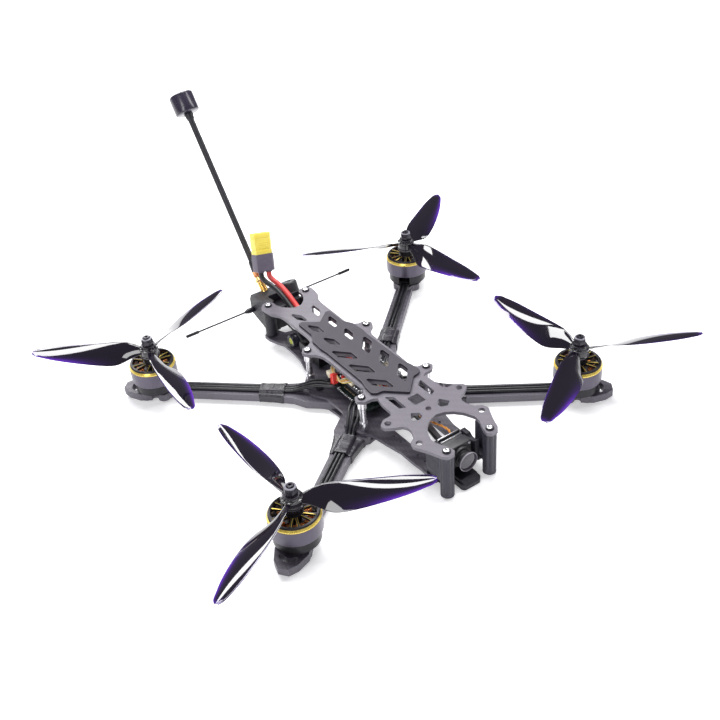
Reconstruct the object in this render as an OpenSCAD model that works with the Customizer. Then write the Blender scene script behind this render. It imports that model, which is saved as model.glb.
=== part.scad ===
/* [Airframe] */
// Half the distance between the left and right motor axes
motor_x = 120.4; // [118:0.2:124]
// Half the distance between the front and rear motor axes
motor_y = 102.3; // [100:0.2:106]
// Thickness of the lower clamp plate
clamp_t = 2.5; // [2:0.5:3]
// Thickness of the four arms
arm_t = 6; // [5:0.5:7]
// Thickness of the main plate on top of the arms
main_t = 2.5; // [2:0.5:3]
// Length of the spacers between the main plate and the top plate
spacer_h = 25; // [25:1:30]
// Thickness of the top plate
top_t = 2.5; // [2:0.5:3]
// Half the width of an arm between its motor and its root
arm_half_w = 7.3; // [6.5:0.1:7.6]
// Thickness of the rubber battery pad
pad_t = 2; // [1:0.5:3]

/* [Motors] */
// Outer radius of a motor bell
bell_r = 17.4; // [17:0.1:18]
// Height of the bell's lower edge above the arm
bell_low = 10; // [9:0.5:11]
// Height of the bell's straight wall
bell_wall = 12.3; // [12:0.1:13]

/* [Propellers] */
// Radius from the axis to a blade's tip
prop_r = 88.9; // [80:0.1:90]
// Distance a propeller would advance in one turn
prop_pitch = 106; // [90:1:120]
// Number of blades on each propeller
blades = 3; // [2:1:3]

/* [Camera] */
// Height of the camera's tilt axis above the ground
camera_z = 19.5; // [19:0.5:21]
// Distance of the camera's tilt axis ahead of the motor centre
camera_y = 110; // [108:1:111]
// Width of the camera's case
camera_w = 19; // [18:0.5:19]

/* [Antennas] */
// Lean of the video antenna back from vertical, in degrees
antenna_lean = 36; // [25:0.5:40]
// Length of the video antenna's rod
rod_len = 139; // [120:1:150]
// Span of the receiver antenna from tip to tip
receiver_span = 158; // [130:1:160]

/* [Fasteners] */
// Radius of a machine screw's shank
screw_r = 1.5; // [1.4:0.05:1.55]
// Radius of a screw's clearance hole
hole_r = 1.6; // [1.6:0.05:1.8]
// Radius of the four empty grommet holes in the ears and horns of the top plate
grommet_hole_r = 2.4; // [1.6:0.1:2.6]
// Radius of the single hole behind the camera opening
strap_hole_r = 2.1; // [1.6:0.1:2.6]

/* [Hidden] */
$fn = 48;
gap = 0.05;

// Levels of the stacked plates
arm_z = clamp_t;
main_z = arm_z + arm_t;
deck_z = main_z + main_t;
top_z = deck_z + spacer_h;
roof_z = top_z + top_t;
pad_z = roof_z + pad_t;

// Places of the frame's screws on the left half, x then y
front_post = [18.1, -124.2];
front_spacer = [28.2, -43.6];
rear_spacer = [26.6, 28.7];
rear_post = [17.6, 101.3];
front_clamp = [27.7, -32.8];
rear_clamp = [27.7, 15.6];
ear_hole = [30.5, -77.6];
horn_hole = [26.3, -106.4];
roof_screws = [front_post, front_spacer, rear_spacer, rear_post];
stack_y = -11;
stack_half = 15.25;

// Where the arms' centre lines cross the middle of the frame, and their directions
front_hub_y = -12;
rear_hub_y = -10.2;
seam_y = -11;
front_len = norm([motor_x, motor_y + front_hub_y]);
rear_len = norm([motor_x, motor_y - rear_hub_y]);
front_turn = atan2(-motor_y - front_hub_y, motor_x);
rear_turn = atan2(motor_y - rear_hub_y, motor_x);
root_half_w = 13.4;
root_u = 46;
lobe = 6.7;
lobe_r = 4.7;
tip_u = 26;

// Motor levels above the ground
base_t = 3.4;
base_top = main_z + base_t;
skirt_top = main_z + bell_low - 0.6;
stator_low = skirt_top + 1.4;
stator_top = stator_low + 9;
bell_bottom = main_z + bell_low;
ring_z = bell_bottom + bell_wall;
ring_h = 2.4;
bell_top = ring_z + ring_h;
boss_top = bell_top + 3.6;
prop_low = boss_top + gap;
prop_high = prop_low + 9.8;
washer_top = prop_high + 1;
nut_h = 6;
nut_top = washer_top + nut_h;
shaft_r = 2;
stub_r = 2.5;
bearing_r = 2.05;
spoke_pairs = 6;
spoke_spread = 11;

// Blade outline and thickness at fractions of the radius: leading edge, trailing edge, thickness
blade_lead = [[0.06, 3.2], [0.12, 5], [0.2, 6.8], [0.28, 7.4], [0.4, 7.2], [0.6, 6.4], [0.8, 5.2],
    [0.92, 3.6], [0.97, 2.6], [1, 0.8]];
blade_trail = [[0.06, -3.4], [0.12, -5], [0.2, -8.6], [0.28, -12], [0.4, -12.8], [0.6, -11.6],
    [0.8, -8.8], [0.92, -6], [0.97, -4.6], [1, -2.4]];
blade_thick = [[0.06, 3.4], [0.12, 2.6], [0.2, 2], [0.4, 1.7], [0.7, 1.3], [1, 0.8]];
blade_stations = [0.065, 0.1, 0.14, 0.18, 0.22, 0.26, 0.32, 0.4, 0.48, 0.56, 0.64, 0.72, 0.8, 0.86, 0.92,
    0.96, 0.985, 1];
blade_root_angle = 40;
blade_rise = 3;

// Resting direction of each propeller's first blade
prop_angles = [-28.5, 23.5, -30, 34.2];

// Half outlines of the plates, rear to front, mirrored about the middle
top_half = [[0, 85.3], [3.8, 85.9], [7.5, 89], [10.3, 92.7], [12.2, 97.5], [12.4, 103], [14.5, 106.2],
    [19.5, 106.4], [23.3, 102.8], [23.2, 96.8], [22, 89.4], [18.2, 83], [17.2, 77], [17, 55],
    [16.8, 44], [18.5, 37], [23, 33.8], [28, 33.6], [31.6, 28.7], [29.6, 24], [25, 20.6],
    [22.3, 15], [21.6, 5], [21.4, -22], [20.8, -36], [24, -39.6], [31.8, -40], [33.4, -45],
    [29.5, -48.8], [23, -49.2], [20, -51], [21.6, -57], [22.1, -69.3], [24.4, -72.2], [31, -72.6],
    [35.6, -76.2], [35.4, -80.2], [31, -83.4], [25, -86.2], [22.9, -90], [23.2, -94], [25.8, -99.6],
    [30.5, -102.6], [31.8, -107], [26.4, -118], [23.4, -126], [20.8, -129.2], [15.5, -129.2],
    [13.3, -126.4], [14.6, -121], [18, -113.8], [18.5, -108.5], [15.4, -101], [11.4, -96],
    [6.2, -92.2], [0, -90.5]];
main_half = [[0, 95], [8, 97], [12, 106.4], [19.5, 107], [23.3, 103.5], [22.9, 97], [20.4, 89],
    [17.8, 83], [17.8, 68], [18.8, 57], [22, 46], [22.4, 36], [27.5, 34.4], [32.4, 28.7],
    [33.4, 22], [36.5, 16], [34.8, 10], [30.4, 3], [29.4, -6], [29.4, -18], [32, -25],
    [37, -31], [35.6, -39], [33.4, -46.6], [28.5, -52], [27.5, -56], [25.6, -68], [23.2, -80],
    [23.2, -92], [22.6, -102], [23, -117.4], [13.6, -117.8], [11.6, -112], [11.2, -98],
    [8, -94], [0, -93]];
clamp_half = [[0, 30], [14, 31], [22, 34], [28, 34.2], [32.2, 28.7], [33.4, 21], [36.5, 15.6],
    [34.4, 9], [29.6, 2], [28.6, -7], [28.6, -17], [31.6, -25], [36.8, -32], [35.4, -40],
    [33, -48], [28, -49.4], [22, -48], [14, -44], [0, -43]];
pad_half = [[0, 52.6], [11, 61.6], [14.3, 61], [14.3, 42.5], [18.4, 34.4], [19.2, 22.5], [18.4, 15],
    [18.6, -30], [20.4, -37], [21.2, -45.5], [18.4, -48], [13, -48.8], [0, -61.8]];

// Slots along the sides, rear to front: rear outer corner, inner and outer distance from the middle
slot_rows = [[78, 4.6, 10.6], [54, 4.6, 10.6], [32, 4.6, 10.6], [13.6, 4.6, 15.2], [-8.4, 4.6, 15.2],
    [-30.4, 4.6, 15.2]];
slot_len = 9.6;
slot_slope = 0.9;

// Routes, chosen by hand: the motor wires of one quarter, the two battery leads, the video coax
front_wire_route = [[109.2, -93.9, 10.2], [98, -85.5, 9.8], [80, -72, 9.8], [60, -57, 9.8],
    [47, -47.2, 9.8], [40.6, -42.4, 10.05], [36, -38.6, 13.2], [31, -34.4, 16.4], [27, -30, 18.6],
    [23.4, -27.4, 19.4], [19.4, -26.6, 19.4]];
rear_wire_route = [[110, 92.6, 10.2], [100, 83.3, 9.8], [80, 64.6, 9.8], [62, 47.8, 9.8],
    [47, 33.8, 9.8], [41, 28.2, 10.8], [36.4, 23.4, 13.4], [32, 18.6, 16.4], [27.8, 12, 18.8],
    [23.6, 6.4, 19.4], [19.4, 4.6, 19.4]];
red_route = [[4, 7, 20.3], [4, 16, 20.5], [4.2, 24, 23.6], [4.6, 33, 28], [4.4, 48, 30],
    [3.6, 66, 30.2], [2.8, 80, 31], [2.4, 88, 33.6], [2.2, 95, 37], [2, 102, 40.4],
    [1.6, 109, 43.2], [0.6, 115.4, 45.4], [-0.9, 120.4, 47.4], [-1.9, 123.3, 50.2],
    [-1, 125.1, 54.4]];
black_route = [[-4, 7, 20.3], [-4, 16, 20.5], [-3.4, 24, 23.6], [-2, 33, 28], [-1.2, 48, 30],
    [-1.6, 66, 30.2], [-2, 80, 31], [-2.4, 88, 33.6], [-2.6, 95, 37], [-3, 102, 40.6],
    [-3.8, 109, 43.6], [-5.4, 115.4, 46], [-7.6, 120.2, 48.4], [-8.8, 123.2, 51.6],
    [-8, 125.1, 55.9]];
coax_route = [[-9, 65.6, 15.4], [-9.2, 68.4, 18.8], [-9.8, 73, 23], [-10.2, 80, 24], [-8.4, 94, 23.6],
    [-5, 104, 23.8], [-4, 114, 24], [-4, 122, 24.6], [-4, 127.4, 27.2], [-4, 131, 31.7]];
cable_route = [[0, -29.6, 28.6], [0, -36, 28.8], [0.6, -52, 28.4], [-0.6, -66, 26.4],
    [0.4, -80, 23.2], [0, -92, 20.2], [0, -99.7, 19.3]];
lead_r = 2.1;
wire_r = 1.2;
plug_at = [-4.5, 125, 55];
plug_lean = [-20, 12, 0];
plug_w = 16.2;
plug_d = 8.2;
cover_h = 14;
housing_h = 17;
antenna_at = [-4, 131.2, 32];
receiver_at = [0, 131, 20.5];
buzzer_at = [12, 114, 30];

// ---------- shared shapes ----------

function mirrored(half) = concat(half, [for (i = [len(half) - 1:-1:0]) [-half[i][0], half[i][1]]]);

module plate_outline(half, rounding = 1.4) {
    offset(r = rounding, $fn = 20) offset(delta = -2 * rounding) offset(r = rounding, $fn = 20)
        polygon(mirrored(half));
}

module both_sides() {
    for (side = [-1, 1]) scale([side, 1, 1]) children();
}

module sides(points, z = 0) {
    for (p = points, side = [-1, 1]) translate([side * p[0], p[1], z]) children();
}

// Point at fraction t between b and c of the smooth curve through a, b, c, d
function spline(a, b, c, d, t) =
    0.5 * ((2 * b) + (c - a) * t + (2 * a - 5 * b + 4 * c - d) * t * t
    + (3 * b - a - 3 * c + d) * t * t * t);

function smooth(p, steps) =
    let (n = len(p))
    concat([for (i = [0:n - 2], k = [0:steps - 1])
        spline(p[max(0, i - 1)], p[i], p[i + 1], p[min(n - 1, i + 2)], k / steps)], [p[n - 1]]);

function unit(v) = v / norm(v);
function along(p, i) = unit(p[min(len(p) - 1, i + 1)] - p[max(0, i - 1)]);

// Tube of radius r swept along the points p; its rings are square to the route
module tube(p, r, facets = 8) {
    rings = [for (i = [0:len(p) - 1])
        let (t = along(p, i), side = unit(cross(t, [0, 0, 1])), up = cross(side, t))
        for (k = [0:facets - 1])
            p[i] + r * (cos(k * 360 / facets) * side + sin(k * 360 / facets) * up)];
    last = (len(p) - 1) * facets;
    walls = [for (i = [0:len(p) - 2], k = [0:facets - 1])
        let (a = i * facets + k, b = i * facets + (k + 1) % facets)
        [a, b, b + facets, a + facets]];
    polyhedron(rings, concat([[for (k = [facets - 1:-1:0]) k]],
        [[for (k = [0:facets - 1]) last + k]], walls), convexity = 6);
}

// Screw with a button head and a hexagonal socket, its head resting on z = 0
module button_screw(length, head_r = 2.85, head_h = 1.65) {
    difference() {
        union() {
            translate([0, 0, -length]) cylinder(r = screw_r, h = length + 0.1);
            cylinder(r1 = head_r, r2 = head_r * 0.62, h = head_h);
        }
        translate([0, 0, head_h - 1.1]) cylinder(r = 1.15, h = 2, $fn = 6);
    }
}

// Screw with a flush cone head whose face is at z = 0 and whose shank points up
module flush_screw(length, head_r = 2.9) {
    difference() {
        union() {
            cylinder(r1 = head_r, r2 = screw_r, h = head_r - screw_r);
            cylinder(r = screw_r, h = length);
        }
        translate([0, 0, -0.1]) cylinder(r = 1.15, h = 1.2, $fn = 6);
    }
}

module flush_hole(depth, head_r = 2.95) {
    translate([0, 0, -0.01]) cylinder(r1 = head_r + 0.02, r2 = hole_r, h = head_r - hole_r + 0.05);
    translate([0, 0, -1]) cylinder(r = hole_r, h = depth + 2);
}

// ---------- plates ----------

module slot_shape(row, inset = 0) {
    outer = row[2] - inset;
    inner = row[1] + inset;
    drop = (row[2] - row[1]) * slot_slope;
    polygon([[outer, row[0] - inset], [outer, row[0] - slot_len + inset],
        [inner, row[0] - slot_len - drop + inset], [inner, row[0] - drop - inset]]);
}

module slots(rows, rounding = 1.2) {
    both_sides() offset(r = rounding, $fn = 16) for (row = rows) slot_shape(row, rounding);
}

module top_plate() {
    color([0.36, 0.35, 0.38]) difference() {
        translate([0, 0, top_z]) linear_extrude(top_t) difference() {
            plate_outline(top_half);
            slots(slot_rows);
            both_sides() offset(r = 0.6, $fn = 12)
                polygon([[15, -54.4], [11.2, -57.2], [11.2, -71], [14.6, -69.4]]);
            both_sides() offset(r = 0.6, $fn = 12)
                polygon([[12, -79.4], [15.6, -84.8], [12.1, -87.3], [8.4, -85.8], [8, -82.2]]);
            offset(r = 0.8, $fn = 12) polygon([[-3.8, -65], [3.8, -65], [3.8, -73], [-3.8, -73]]);
        }
        sides(roof_screws, top_z - 1) cylinder(r = hole_r, h = top_t + 2);
        sides([ear_hole, horn_hole], top_z - 1) cylinder(r = grommet_hole_r, h = top_t + 2);
        translate([0, -82.2, top_z - 1]) cylinder(r = strap_hole_r, h = top_t + 2);
    }
}

module main_plate() {
    color([0.2, 0.2, 0.22]) difference() {
        translate([0, 0, main_z]) linear_extrude(main_t) difference() {
            plate_outline(main_half, 1.2);
            offset(r = 2, $fn = 20) polygon([[-5, 68], [5, 68], [5, 46], [-5, 46]]);
            offset(r = 2, $fn = 20) polygon([[-11, -56], [11, -56], [10.5, -84], [-10.5, -84]]);
        }
        sides([front_spacer, rear_spacer, rear_post, front_clamp, rear_clamp], main_z - 1)
            cylinder(r = hole_r, h = main_t + 2);
        sides([[stack_half, stack_y - stack_half], [stack_half, stack_y + stack_half]], main_z - 1)
            cylinder(r = hole_r, h = main_t + 2);
        sides([[17, -64], [17, -72], [16, -90], [16, -98]], main_z - 1) cylinder(r = 1, h = main_t + 2);
    }
}

module clamp_plate() {
    color([0.16, 0.16, 0.18]) difference() {
        linear_extrude(clamp_t) difference() {
            plate_outline(clamp_half, 1.2);
            offset(r = 2, $fn = 20) polygon([[-5, 20], [5, 20], [5, 12], [-5, 12]]);
            offset(r = 2, $fn = 20) polygon([[-5, -33], [5, -33], [5, -38], [-5, -38]]);
        }
        sides([front_spacer, rear_spacer, front_clamp, rear_clamp]) flush_hole(clamp_t);
        sides([[stack_half, stack_y - stack_half], [stack_half, stack_y + stack_half]])
            flush_hole(clamp_t);
    }
}

module battery_pad() {
    color([0.22, 0.21, 0.23]) difference() {
        translate([0, 0, roof_z]) linear_extrude(pad_t) difference() {
            plate_outline(pad_half, 1);
            slots([for (i = [1:len(slot_rows) - 1]) slot_rows[i]], 1.2);
        }
    }
}

// ---------- arms ----------

// Outline of an arm lying along +X from the frame's middle to its motor at x = reach
module arm_outline(reach) {
    offset(r = -2, $fn = 24) offset(delta = 2) {
        half = concat([[0, root_half_w], [root_u, root_half_w], [root_u + 10, arm_half_w + 1.9],
            [root_u + 28, arm_half_w]], [[reach - 12, arm_half_w - 0.7], [reach, arm_half_w]]);
        polygon(concat(half, [for (i = [len(half) - 1:-1:0]) [half[i][0], -half[i][1]]]));
        for (a = [-lobe, lobe], b = [-lobe, lobe]) translate([reach + a, b]) circle(r = lobe_r, $fn = 32);
        translate([reach, 0]) square([2 * lobe, 2 * lobe], center = true);
        polygon([[reach + 2, 10.6], [reach + 11, 11.4], [reach + 20.5, 8.2], [reach + tip_u, 3.6],
            [reach + tip_u, -3.6], [reach + 20.5, -8.2], [reach + 11, -11.4], [reach + 2, -10.6]]);
    }
}

// Cut-outs around the motor: one curved slot towards the tip and two along the inner side
module arm_windows(reach) {
    for (a = [-28:4:28]) translate([reach + 18.6 * cos(a), 18.6 * sin(a) * 0.55]) circle(r = 1.5, $fn = 16);
    for (side = [-1, 1]) hull() for (p = [[-13.4, 6.6], [-18.6, 3.9]])
        translate([reach + p[0], side * p[1]]) circle(r = 1.1, $fn = 16);
}

module arm(front, side) {
    reach = front ? front_len : rear_len;
    turn = front ? front_turn : rear_turn;
    hub = front ? front_hub_y : rear_hub_y;
    spacer = front ? front_spacer : rear_spacer;
    clamp = front ? front_clamp : rear_clamp;
    stack = [stack_half, stack_y + (front ? -1 : 1) * stack_half];
    color([0.33, 0.32, 0.35]) mirror([side < 0 ? 1 : 0, 0, 0]) difference() {
        translate([0, 0, arm_z]) linear_extrude(arm_t) intersection() {
            translate([0, hub]) rotate(turn) difference() {
                arm_outline(reach);
                arm_windows(reach);
            }
            front_wedge = [[0.1, seam_y - 0.1], [240, seam_y - 0.1], [240, -240], [0.1, -240]];
            rear_wedge = [[0.1, seam_y + 0.1], [240, seam_y + 0.1], [240, 240], [0.1, 240]];
            polygon(front ? front_wedge : rear_wedge);
        }
        translate([0, seam_y, arm_z - 1]) cylinder(r = 5, h = arm_t + 2);
        for (p = [spacer, clamp, stack]) translate([p[0], p[1], arm_z - 1])
            cylinder(r = hole_r, h = arm_t + 2);
        translate([motor_x, front ? -motor_y : motor_y, arm_z - 1]) rotate(turn) {
            cylinder(r = 4, h = arm_t + 2);
            for (a = [-lobe, lobe], b = [-lobe, lobe]) translate([a, b, 0])
                cylinder(r = hole_r, h = arm_t + 2);
        }
    }
}

module arm_front_right() { arm(true, -1); }
module arm_rear_right() { arm(false, -1); }
module arm_front_left() { arm(true, 1); }
module arm_rear_left() { arm(false, 1); }

// ---------- posts, spacers and screws ----------

module tapped(height, r, depth) {
    difference() {
        children();
        translate([0, 0, -1]) cylinder(r = screw_r + gap, h = depth + 1);
        translate([0, 0, height - depth]) cylinder(r = screw_r + gap, h = depth + 1);
    }
}

module standoffs() {
    end_h = 6.2;
    color([0.78, 0.77, 0.8]) sides([front_spacer, rear_spacer], deck_z) tapped(spacer_h, 3, 9) {
        union() {
            cylinder(r = 3.1, h = end_h);
            translate([0, 0, end_h]) cylinder(r1 = 3.1, r2 = 2.4, h = 0.8);
            cylinder(r = 2.4, h = spacer_h);
            translate([0, 0, spacer_h - end_h - 0.8]) cylinder(r1 = 2.4, r2 = 3.3, h = 0.8);
            translate([0, 0, spacer_h - end_h]) cylinder(r = 3.3, h = end_h);
        }
    }
}

module rear_posts() {
    color([0.13, 0.13, 0.14]) sides([rear_post], deck_z) tapped(spacer_h, 3, 9)
        cylinder(r = 2.6, h = spacer_h);
}

// Moulded front corner: a column that ends in a foot, with a web back along the main plate
foot_z = 0.6;
post_r = 4.8;
post_head_z = 2.8;

module corner_posts() {
    color([0.2, 0.2, 0.22]) both_sides() difference() {
        union() {
            translate([front_post[0], front_post[1], foot_z]) {
                cylinder(r1 = post_r - 0.8, r2 = post_r, h = 1.2);
                translate([0, 0, 1.2]) cylinder(r = post_r, h = top_z - foot_z - 1.2);
            }
            translate([front_post[0] + 1.4, front_post[1] + 2, deck_z]) cube([2.6, 15, spacer_h - 2.4]);
            translate([front_post[0] - 3.6, front_post[1] + 2, deck_z]) cube([7.6, 15, 3]);
        }
        translate([front_post[0], front_post[1], -0.1]) cylinder(r = 3, h = post_head_z + 0.1);
        translate([front_post[0], front_post[1], 0]) cylinder(r = screw_r + gap, h = 20);
        translate([front_post[0], front_post[1], top_z - 9]) cylinder(r = screw_r + gap, h = 10);
    }
}

module top_screws() {
    color([0.12, 0.12, 0.13]) sides(roof_screws, roof_z) button_screw(top_t + 6);
}

module lower_screws() {
    tall = deck_z + 7;
    color([0.12, 0.12, 0.13]) {
        sides([front_spacer, rear_spacer]) flush_screw(tall);
        sides([front_clamp, rear_clamp]) flush_screw(deck_z - 0.4);
        sides([front_clamp, rear_clamp], deck_z) difference() {
            cylinder(r = 2.9, h = 2.2, $fn = 6);
            translate([0, 0, -0.1]) cylinder(r = 1.3, h = 2.4);
        }
        sides([front_post], post_head_z) {
            translate([0, 0, -1.6]) cylinder(r = 2.7, h = 1.6);
            cylinder(r = screw_r, h = 14);
        }
        sides([rear_post], main_z) {
            translate([0, 0, -1.65]) cylinder(r1 = 1.8, r2 = 2.85, h = 1.65);
            cylinder(r = screw_r, h = main_t + 6);
        }
    }
}

// ---------- front end ----------

module chin_guard() {
    color([0.1, 0.1, 0.11]) difference() {
        union() {
            translate([0, -116.6, 0.6]) hull() for (x = [-5, 5], y = [-9, 8])
                translate([x, y, 0]) cylinder(r = 3, h = 4.2, $fn = 32);
            translate([0, -118.6, 4.8]) hull() for (x = [-4.4, 4.4], y = [-5.8, 6])
                translate([x, y, 0]) cylinder(r = 2.6, h = main_z - 4.8 - 1.6, $fn = 32);
            both_sides() translate([6, -108.6, 0.6]) cube([11.2, 7, main_z - 0.6 - gap]);
        }
        translate([0, -127.8, 8.6]) rotate([38, 0, 0]) cube([30, 16, 7], center = true);
        sides([[13.6, -104.4]], -1) cylinder(r = 1.3, h = main_z + 2);
    }
}

module camera_cheeks() {
    inner = camera_w / 2 + 0.5;
    cheek_t = 3.4;
    rear_y = -camera_y + 6;
    cheek_top = camera_z + 9.5;
    color([0.12, 0.12, 0.13]) both_sides() difference() {
        union() {
            translate([inner, rear_y - 15, deck_z]) cube([cheek_t, 15, cheek_top - deck_z]);
            translate([inner, rear_y - 12, deck_z]) cube([4.2, 12, 2.2]);
        }
        translate([inner - 1, -camera_y, camera_z]) rotate([0, 90, 0])
            cylinder(r = 0.98, h = cheek_t + 2);
        translate([inner - 1, -camera_y - 4.6, camera_z + 12.4]) rotate([0, 90, 0])
            cylinder(r = 5.4, h = cheek_t + 2);
        translate([front_post[0], front_post[1], 0]) cylinder(r = 5.3, h = top_z);
    }
}

module camera_case() {
    half = camera_w / 2;
    color([0.09, 0.09, 0.1]) translate([0, -camera_y, camera_z]) difference() {
        union() {
            translate([-half, -6, -9]) cube([camera_w, 7.4, 18]);
            translate([-half + 0.8, 1.4, -8.2]) cube([camera_w - 1.6, 4.4, 16.4]);
            rotate([90, 0, 0]) cylinder(r = 7.6, h = 8.4);
        }
        for (side = [-1, 1]) translate([side * half, 0, 0]) rotate([0, -side * 90, 0])
            cylinder(r = 0.95, h = 4.4);
        translate([0, -4, 0]) rotate([90, 0, 0]) cylinder(r = 6.05, h = 6);
    }
}

module camera_lens() {
    color([0.14, 0.13, 0.15]) translate([0, -camera_y, camera_z]) rotate([90, 0, 0]) difference() {
        union() {
            translate([0, 0, 4.1]) cylinder(r = 6, h = 5.4);
            translate([0, 0, 9.5]) cylinder(r1 = 5.2, r2 = 5.6, h = 2);
            translate([0, 0, 11.5]) cylinder(r1 = 5.6, r2 = 7.1, h = 2.2);
            translate([0, 0, 13.7]) cylinder(r = 7.1, h = 0.9);
        }
        translate([0, 0, 13.2]) cylinder(r1 = 5, r2 = 6.4, h = 1.5);
    }
}

module camera_board() {
    color([0.75, 0.76, 0.78]) translate([0, -camera_y, camera_z]) {
        difference() {
            translate([-8.9, 5.9, -8.2]) cube([17.8, 1.6, 17.8]);
            translate([-7.7, 6.6, -7]) cube([15.4, 2, 15.4]);
        }
        translate([-4.5, 6.65, -2.4]) cube([9, 3.4, 4.4]);
    }
}

module camera_screws() {
    color([0.7, 0.7, 0.72]) translate([0, -camera_y, camera_z]) for (side = [-1, 1])
        rotate([0, side * 90, 0]) difference() {
            union() {
                translate([0, 0, camera_w / 2 - 4.2]) cylinder(r = 0.9, h = 8.3);
                translate([0, 0, camera_w / 2 + 4.1]) cylinder(r = 1.9, h = 1.4);
            }
            translate([0, 0, camera_w / 2 + 4.8]) cylinder(r = 0.8, h = 2, $fn = 6);
        }
}

module camera_cable() {
    color([0.85, 0.45, 0.1]) for (x = [-2.2, 0, 2.2])
        tube(smooth([for (p = cable_route) p + [x, 0, 0]], 3), 0.65, 8);
}

// ---------- electronics ----------

esc_z = deck_z + 5;
board_t = 1.6;
fc_z = esc_z + board_t + 7;
esc_half = [21, 25];
fc_half = 18.5;

module corner_holes(z, r, h) {
    for (x = [-stack_half, stack_half], y = [-stack_half, stack_half])
        translate([x, stack_y + y, z]) cylinder(r = r, h = h);
}

module esc_board() {
    color([0.05, 0.2, 0.14]) difference() {
        translate([0, stack_y, esc_z]) linear_extrude(board_t) offset(r = 2, $fn = 24)
            square([2 * esc_half[0] - 4, 2 * esc_half[1] - 4], center = true);
        corner_holes(esc_z - 1, 2.1, board_t + 2);
    }
}

module esc_parts() {
    top = esc_z + board_t;
    color([0.1, 0.1, 0.11]) {
        for (x = [-13, -6.4, 6.4, 13], y = [-8, 0, 8]) translate([x - 2.5, stack_y + y - 2.9, top])
            cube([5, 5.8, 1]);
        translate([-3.6, stack_y - 3.6, top]) cube([7.2, 7.2, 1.1]);
    }
    color([0.8, 0.8, 0.82]) for (side = [-1, 1], y = [-20, -15.6, -11.2, 11.2, 15.6, 20])
        translate([side * 19.6, stack_y + y, top]) cylinder(r = 1.2, h = 0.55);
    color([0.8, 0.8, 0.82]) for (x = [-4, 4]) translate([x - 2, stack_y + 17.6, top])
        cube([4, 6.4, 0.55]);
    color([0.35, 0.28, 0.2]) for (x = [-9, -3, 3, 9]) translate([x - 1.6, stack_y + 13.4, top])
        cube([3.2, 2.4, 1.8]);
}

module fc_board() {
    color([0.07, 0.08, 0.1]) difference() {
        translate([0, stack_y, fc_z]) linear_extrude(board_t) offset(r = 2, $fn = 24)
            square(2 * fc_half - 4, center = true);
        corner_holes(fc_z - 1, 2.1, board_t + 2);
    }
}

module fc_chips() {
    top = fc_z + board_t;
    color([0.12, 0.12, 0.13]) {
        translate([-5, stack_y - 5, top]) cube([10, 10, 1.2]);
        translate([8, stack_y + 1, top]) cube([5, 4, 0.9]);
        translate([-12.4, stack_y + 2, top]) cube([5, 5, 1]);
        translate([-11, stack_y - 9.6, top]) cube([4, 4, 0.9]);
        translate([7.6, stack_y - 8.6, top]) cube([4.4, 3.4, 0.9]);
    }
    color([0.75, 0.7, 0.6]) for (k = [0:4]) translate([-12 + 3 * k, stack_y + 9.4, top])
        cube([1.6, 0.9, 0.7]);
    color([0.7, 0.7, 0.72]) translate([boot_at[0], boot_at[1], top]) difference() {
        translate([-1.7, -1.5, 0]) cube([3.4, 3, 1.2]);
        translate([0, 0, 0.1]) cylinder(r = 0.87, h = 2);
    }
}

module fc_plugs() {
    top = fc_z + board_t;
    color([0.92, 0.88, 0.75]) {
        for (x = [-5.5, 5.5]) translate([x - 4, stack_y + 13.6, top]) cube([8, 4.4, 3]);
        translate([-18, stack_y - 4, top]) cube([4.2, 9, 3]);
        translate([13.8, stack_y - 8, top]) cube([4.2, 9, 3]);
        translate([-3, stack_y - 18.2, top]) cube([6, 4.2, 3]);
    }
    color([0.75, 0.1, 0.1]) translate([-18.2, stack_y + 6.4, top]) cube([4, 3, 2.4]);
}

module stack_screws() {
    color([0.55, 0.55, 0.58]) for (x = [-stack_half, stack_half], y = [-stack_half, stack_half])
        translate([x, stack_y + y, 0]) {
            flush_screw(fc_z + board_t + 4.4, 2.9);
            translate([0, 0, fc_z + board_t + 1.1]) difference() {
                cylinder(r = 2.7, h = 2.2, $fn = 6);
                translate([0, 0, -0.1]) cylinder(r = screw_r - 0.1, h = 2.4);
            }
        }
}

// Soft grommets that carry the boards on the stack's screws
module stack_spacers() {
    low = deck_z + 0.05;
    color([0.12, 0.12, 0.13]) for (x = [-stack_half, stack_half], y = [-stack_half, stack_half])
        translate([x, stack_y + y, 0]) difference() {
            union() {
                translate([0, 0, low]) cylinder(r = 3, h = esc_z - low);
                translate([0, 0, esc_z]) cylinder(r = 2.05, h = board_t);
                translate([0, 0, esc_z + board_t]) cylinder(r = 2.9, h = fc_z - esc_z - board_t);
                translate([0, 0, fc_z]) cylinder(r = 2.05, h = board_t);
                translate([0, 0, fc_z + board_t]) cylinder(r = 2.9, h = 1);
            }
            translate([0, 0, low - 1]) cylinder(r = screw_r + gap, h = 40);
        }
}

boot_at = [10.2, -26.4];

module boot_button() {
    color([0.85, 0.85, 0.8]) translate([boot_at[0], boot_at[1], fc_z + board_t + 0.45])
        cylinder(r = 0.8, h = 1.15);
}

module vtx_case() {
    color([0.16, 0.16, 0.18]) {
        difference() {
            translate([-14, 36, deck_z + 1.6]) cube([28, 28, 9.4]);
            for (k = [0:5]) translate([-12.4 + k * 4.4, 35, deck_z + 7.6]) cube([2.8, 30, 6]);
        }
        for (x = [-11, 11], y = [39, 61]) translate([x, y, deck_z]) cylinder(r = 1.8, h = 1.6);
    }
    color([0.8, 0.65, 0.3]) translate([-9, 64, deck_z + 4.4]) rotate([-90, 0, 0])
        cylinder(r = 1.5, h = 0.9);
}

module vtx_coax() {
    color([0.1, 0.1, 0.11]) tube(smooth(coax_route, 3), 0.75, 8);
}

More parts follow.
